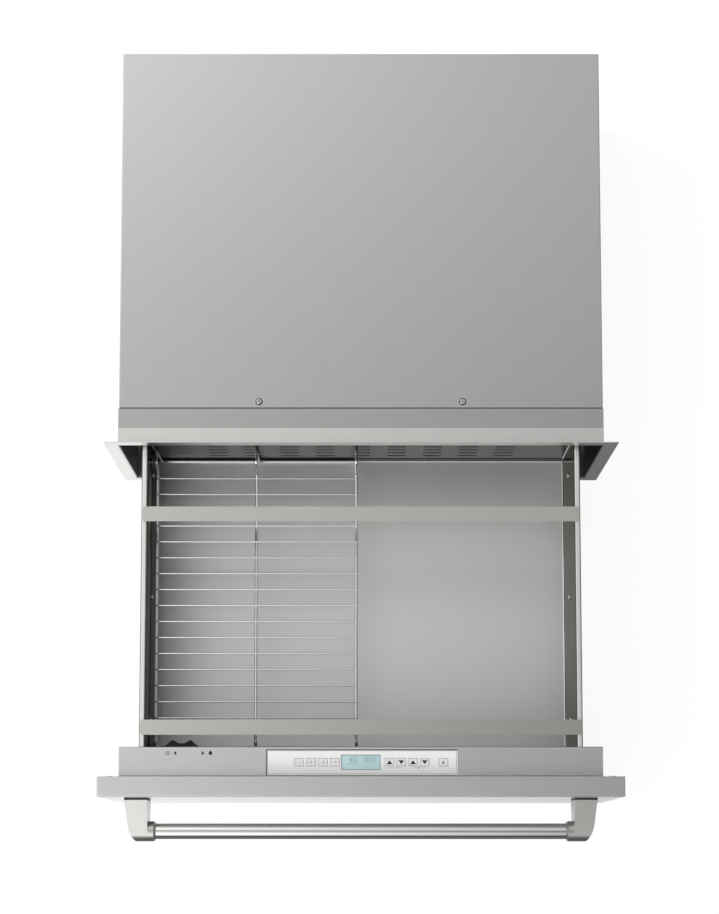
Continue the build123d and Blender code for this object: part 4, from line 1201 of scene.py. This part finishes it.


# A dark strip in the joint between the wrapper and the front ring: painted shade for the joint's shadow.
def makeJointSeal(values):
    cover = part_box("top_cover")
    front = cover[0].y - values["shadowStripAhead"] * mm
    level = cover[1].z - values["shadowStripDepth"] * mm
    half = cover[1].x - values["shadowStripInset"] * mm

    def build(shape):
        back = front + values["shadowStripWidth"] * mm
        middle = (front + back) / 2
        rise = values["shadowStripRise"] * mm
        lip = values["shadowStripLip"] * mm
        lipLevel = cover[1].z + 2 * printLift
        rings = []
        for x in (-half, half):
            rings.append([
                (x, front, level), (x, back, level), (x, back, lipLevel), (x, back + lip, lipLevel),
                (x, middle, lipLevel + rise), (x, front - lip, lipLevel), (x, front, lipLevel),
            ])
        addRings(shape, rings, False)

    makePiece("joint_painted_shadow", "case", darkPaintedShade, build)


# A dished dark ring under each screw of the cover: painted shade for the dark edge of the screw's head.
def makeWashers(values):
    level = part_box("top_cover")[1].z + printLift
    inner = values["shadeRingInner"]
    outer = values["shadeRingOuter"]
    rise = values["shadeRingRise"]
    slopeIn, slopeShare = values["shadeRingSlope"]
    section = ((outer, 0), (inner, 0), (inner, rise), (outer - slopeIn, rise * slopeShare))

    def build(shape):
        for x, y in values["coverScrews"]:
            rings = []
            for radius, height in section:
                r = radius * mm
                rings.append(atLevel(roundedOutline(x, y, 2 * r, 2 * r, r, 8), level + height * mm))
            addRings(shape, rings, True)

    makePiece("cover_screw_shade_rings", "case", blackRubberAndShade, build)

    # A dark plate in each screw's cross recess: painted shade in the recess.
    def buildRecess(shape):
        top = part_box("case_screws")[1].z - values["recessUnder"] * mm
        low = top - values["recessDepth"] * mm
        r = values["recessRadius"] * mm
        for x, y in values["coverScrews"]:
            addPlate(shape, [(x + r, y), (x, y + r), (x - r, y), (x, y - r)], low, top)

    makePiece("cover_screw_recess_shades", "case", blackRubberAndShade, buildRecess)


beadValues = {
    "radius": 1.3,  # mm
    "steps": 5,  # of its hollow face
    "gap": 0.05,  # to the sheet
    "sideInset": 0.35,
    "frontInset": 7,
    "corner": 5,  # where the sheet is bent and both beads end
    "topInset": 3,
}


# A pale bead lies in the corner between the pan's floor and each side, and goes up the corner at the back:
# a painted highlight along these corners.
def makeBeads(values):
    low, high = panBox
    radius = values["radius"] * mm
    steps = values["steps"]
    corner = values["corner"] * mm
    floorLevel = low.z + panValues["sheet"] * mm + values["gap"] * mm
    back = panBack - panValues["sheet"] * mm - values["gap"] * mm
    front = low.y + values["frontInset"] * mm
    top = high.z - values["topInset"] * mm
    section = []
    for step in range(steps + 1):
        turn = math.radians(90 * step / steps)
        section.append((radius * (1 - math.sin(turn)), radius * (1 - math.cos(turn))))
    section.append((0, 0))

    def build(shape):
        for side, edge in ((-1, low.x), (1, high.x)):
            x = edge - side * values["sideInset"] * mm
            along = []
            for y in (front, back - corner):
                along.append([(x - side * u, y, floorLevel + v) for u, v in section])
            addRings(shape, along, False)
            upright = []
            for z in (floorLevel + corner, top):
                upright.append([(x - side * u, back - v, z) for u, v in section])
            addRings(shape, upright, False)

    makePiece("pan_corner_highlight_beads", "drawer", paleSiliconeAndHighlight, build)


makeJointSeal(caseValues)
makeWashers(caseValues)
makeBeads(beadValues)
print("small pieces made")
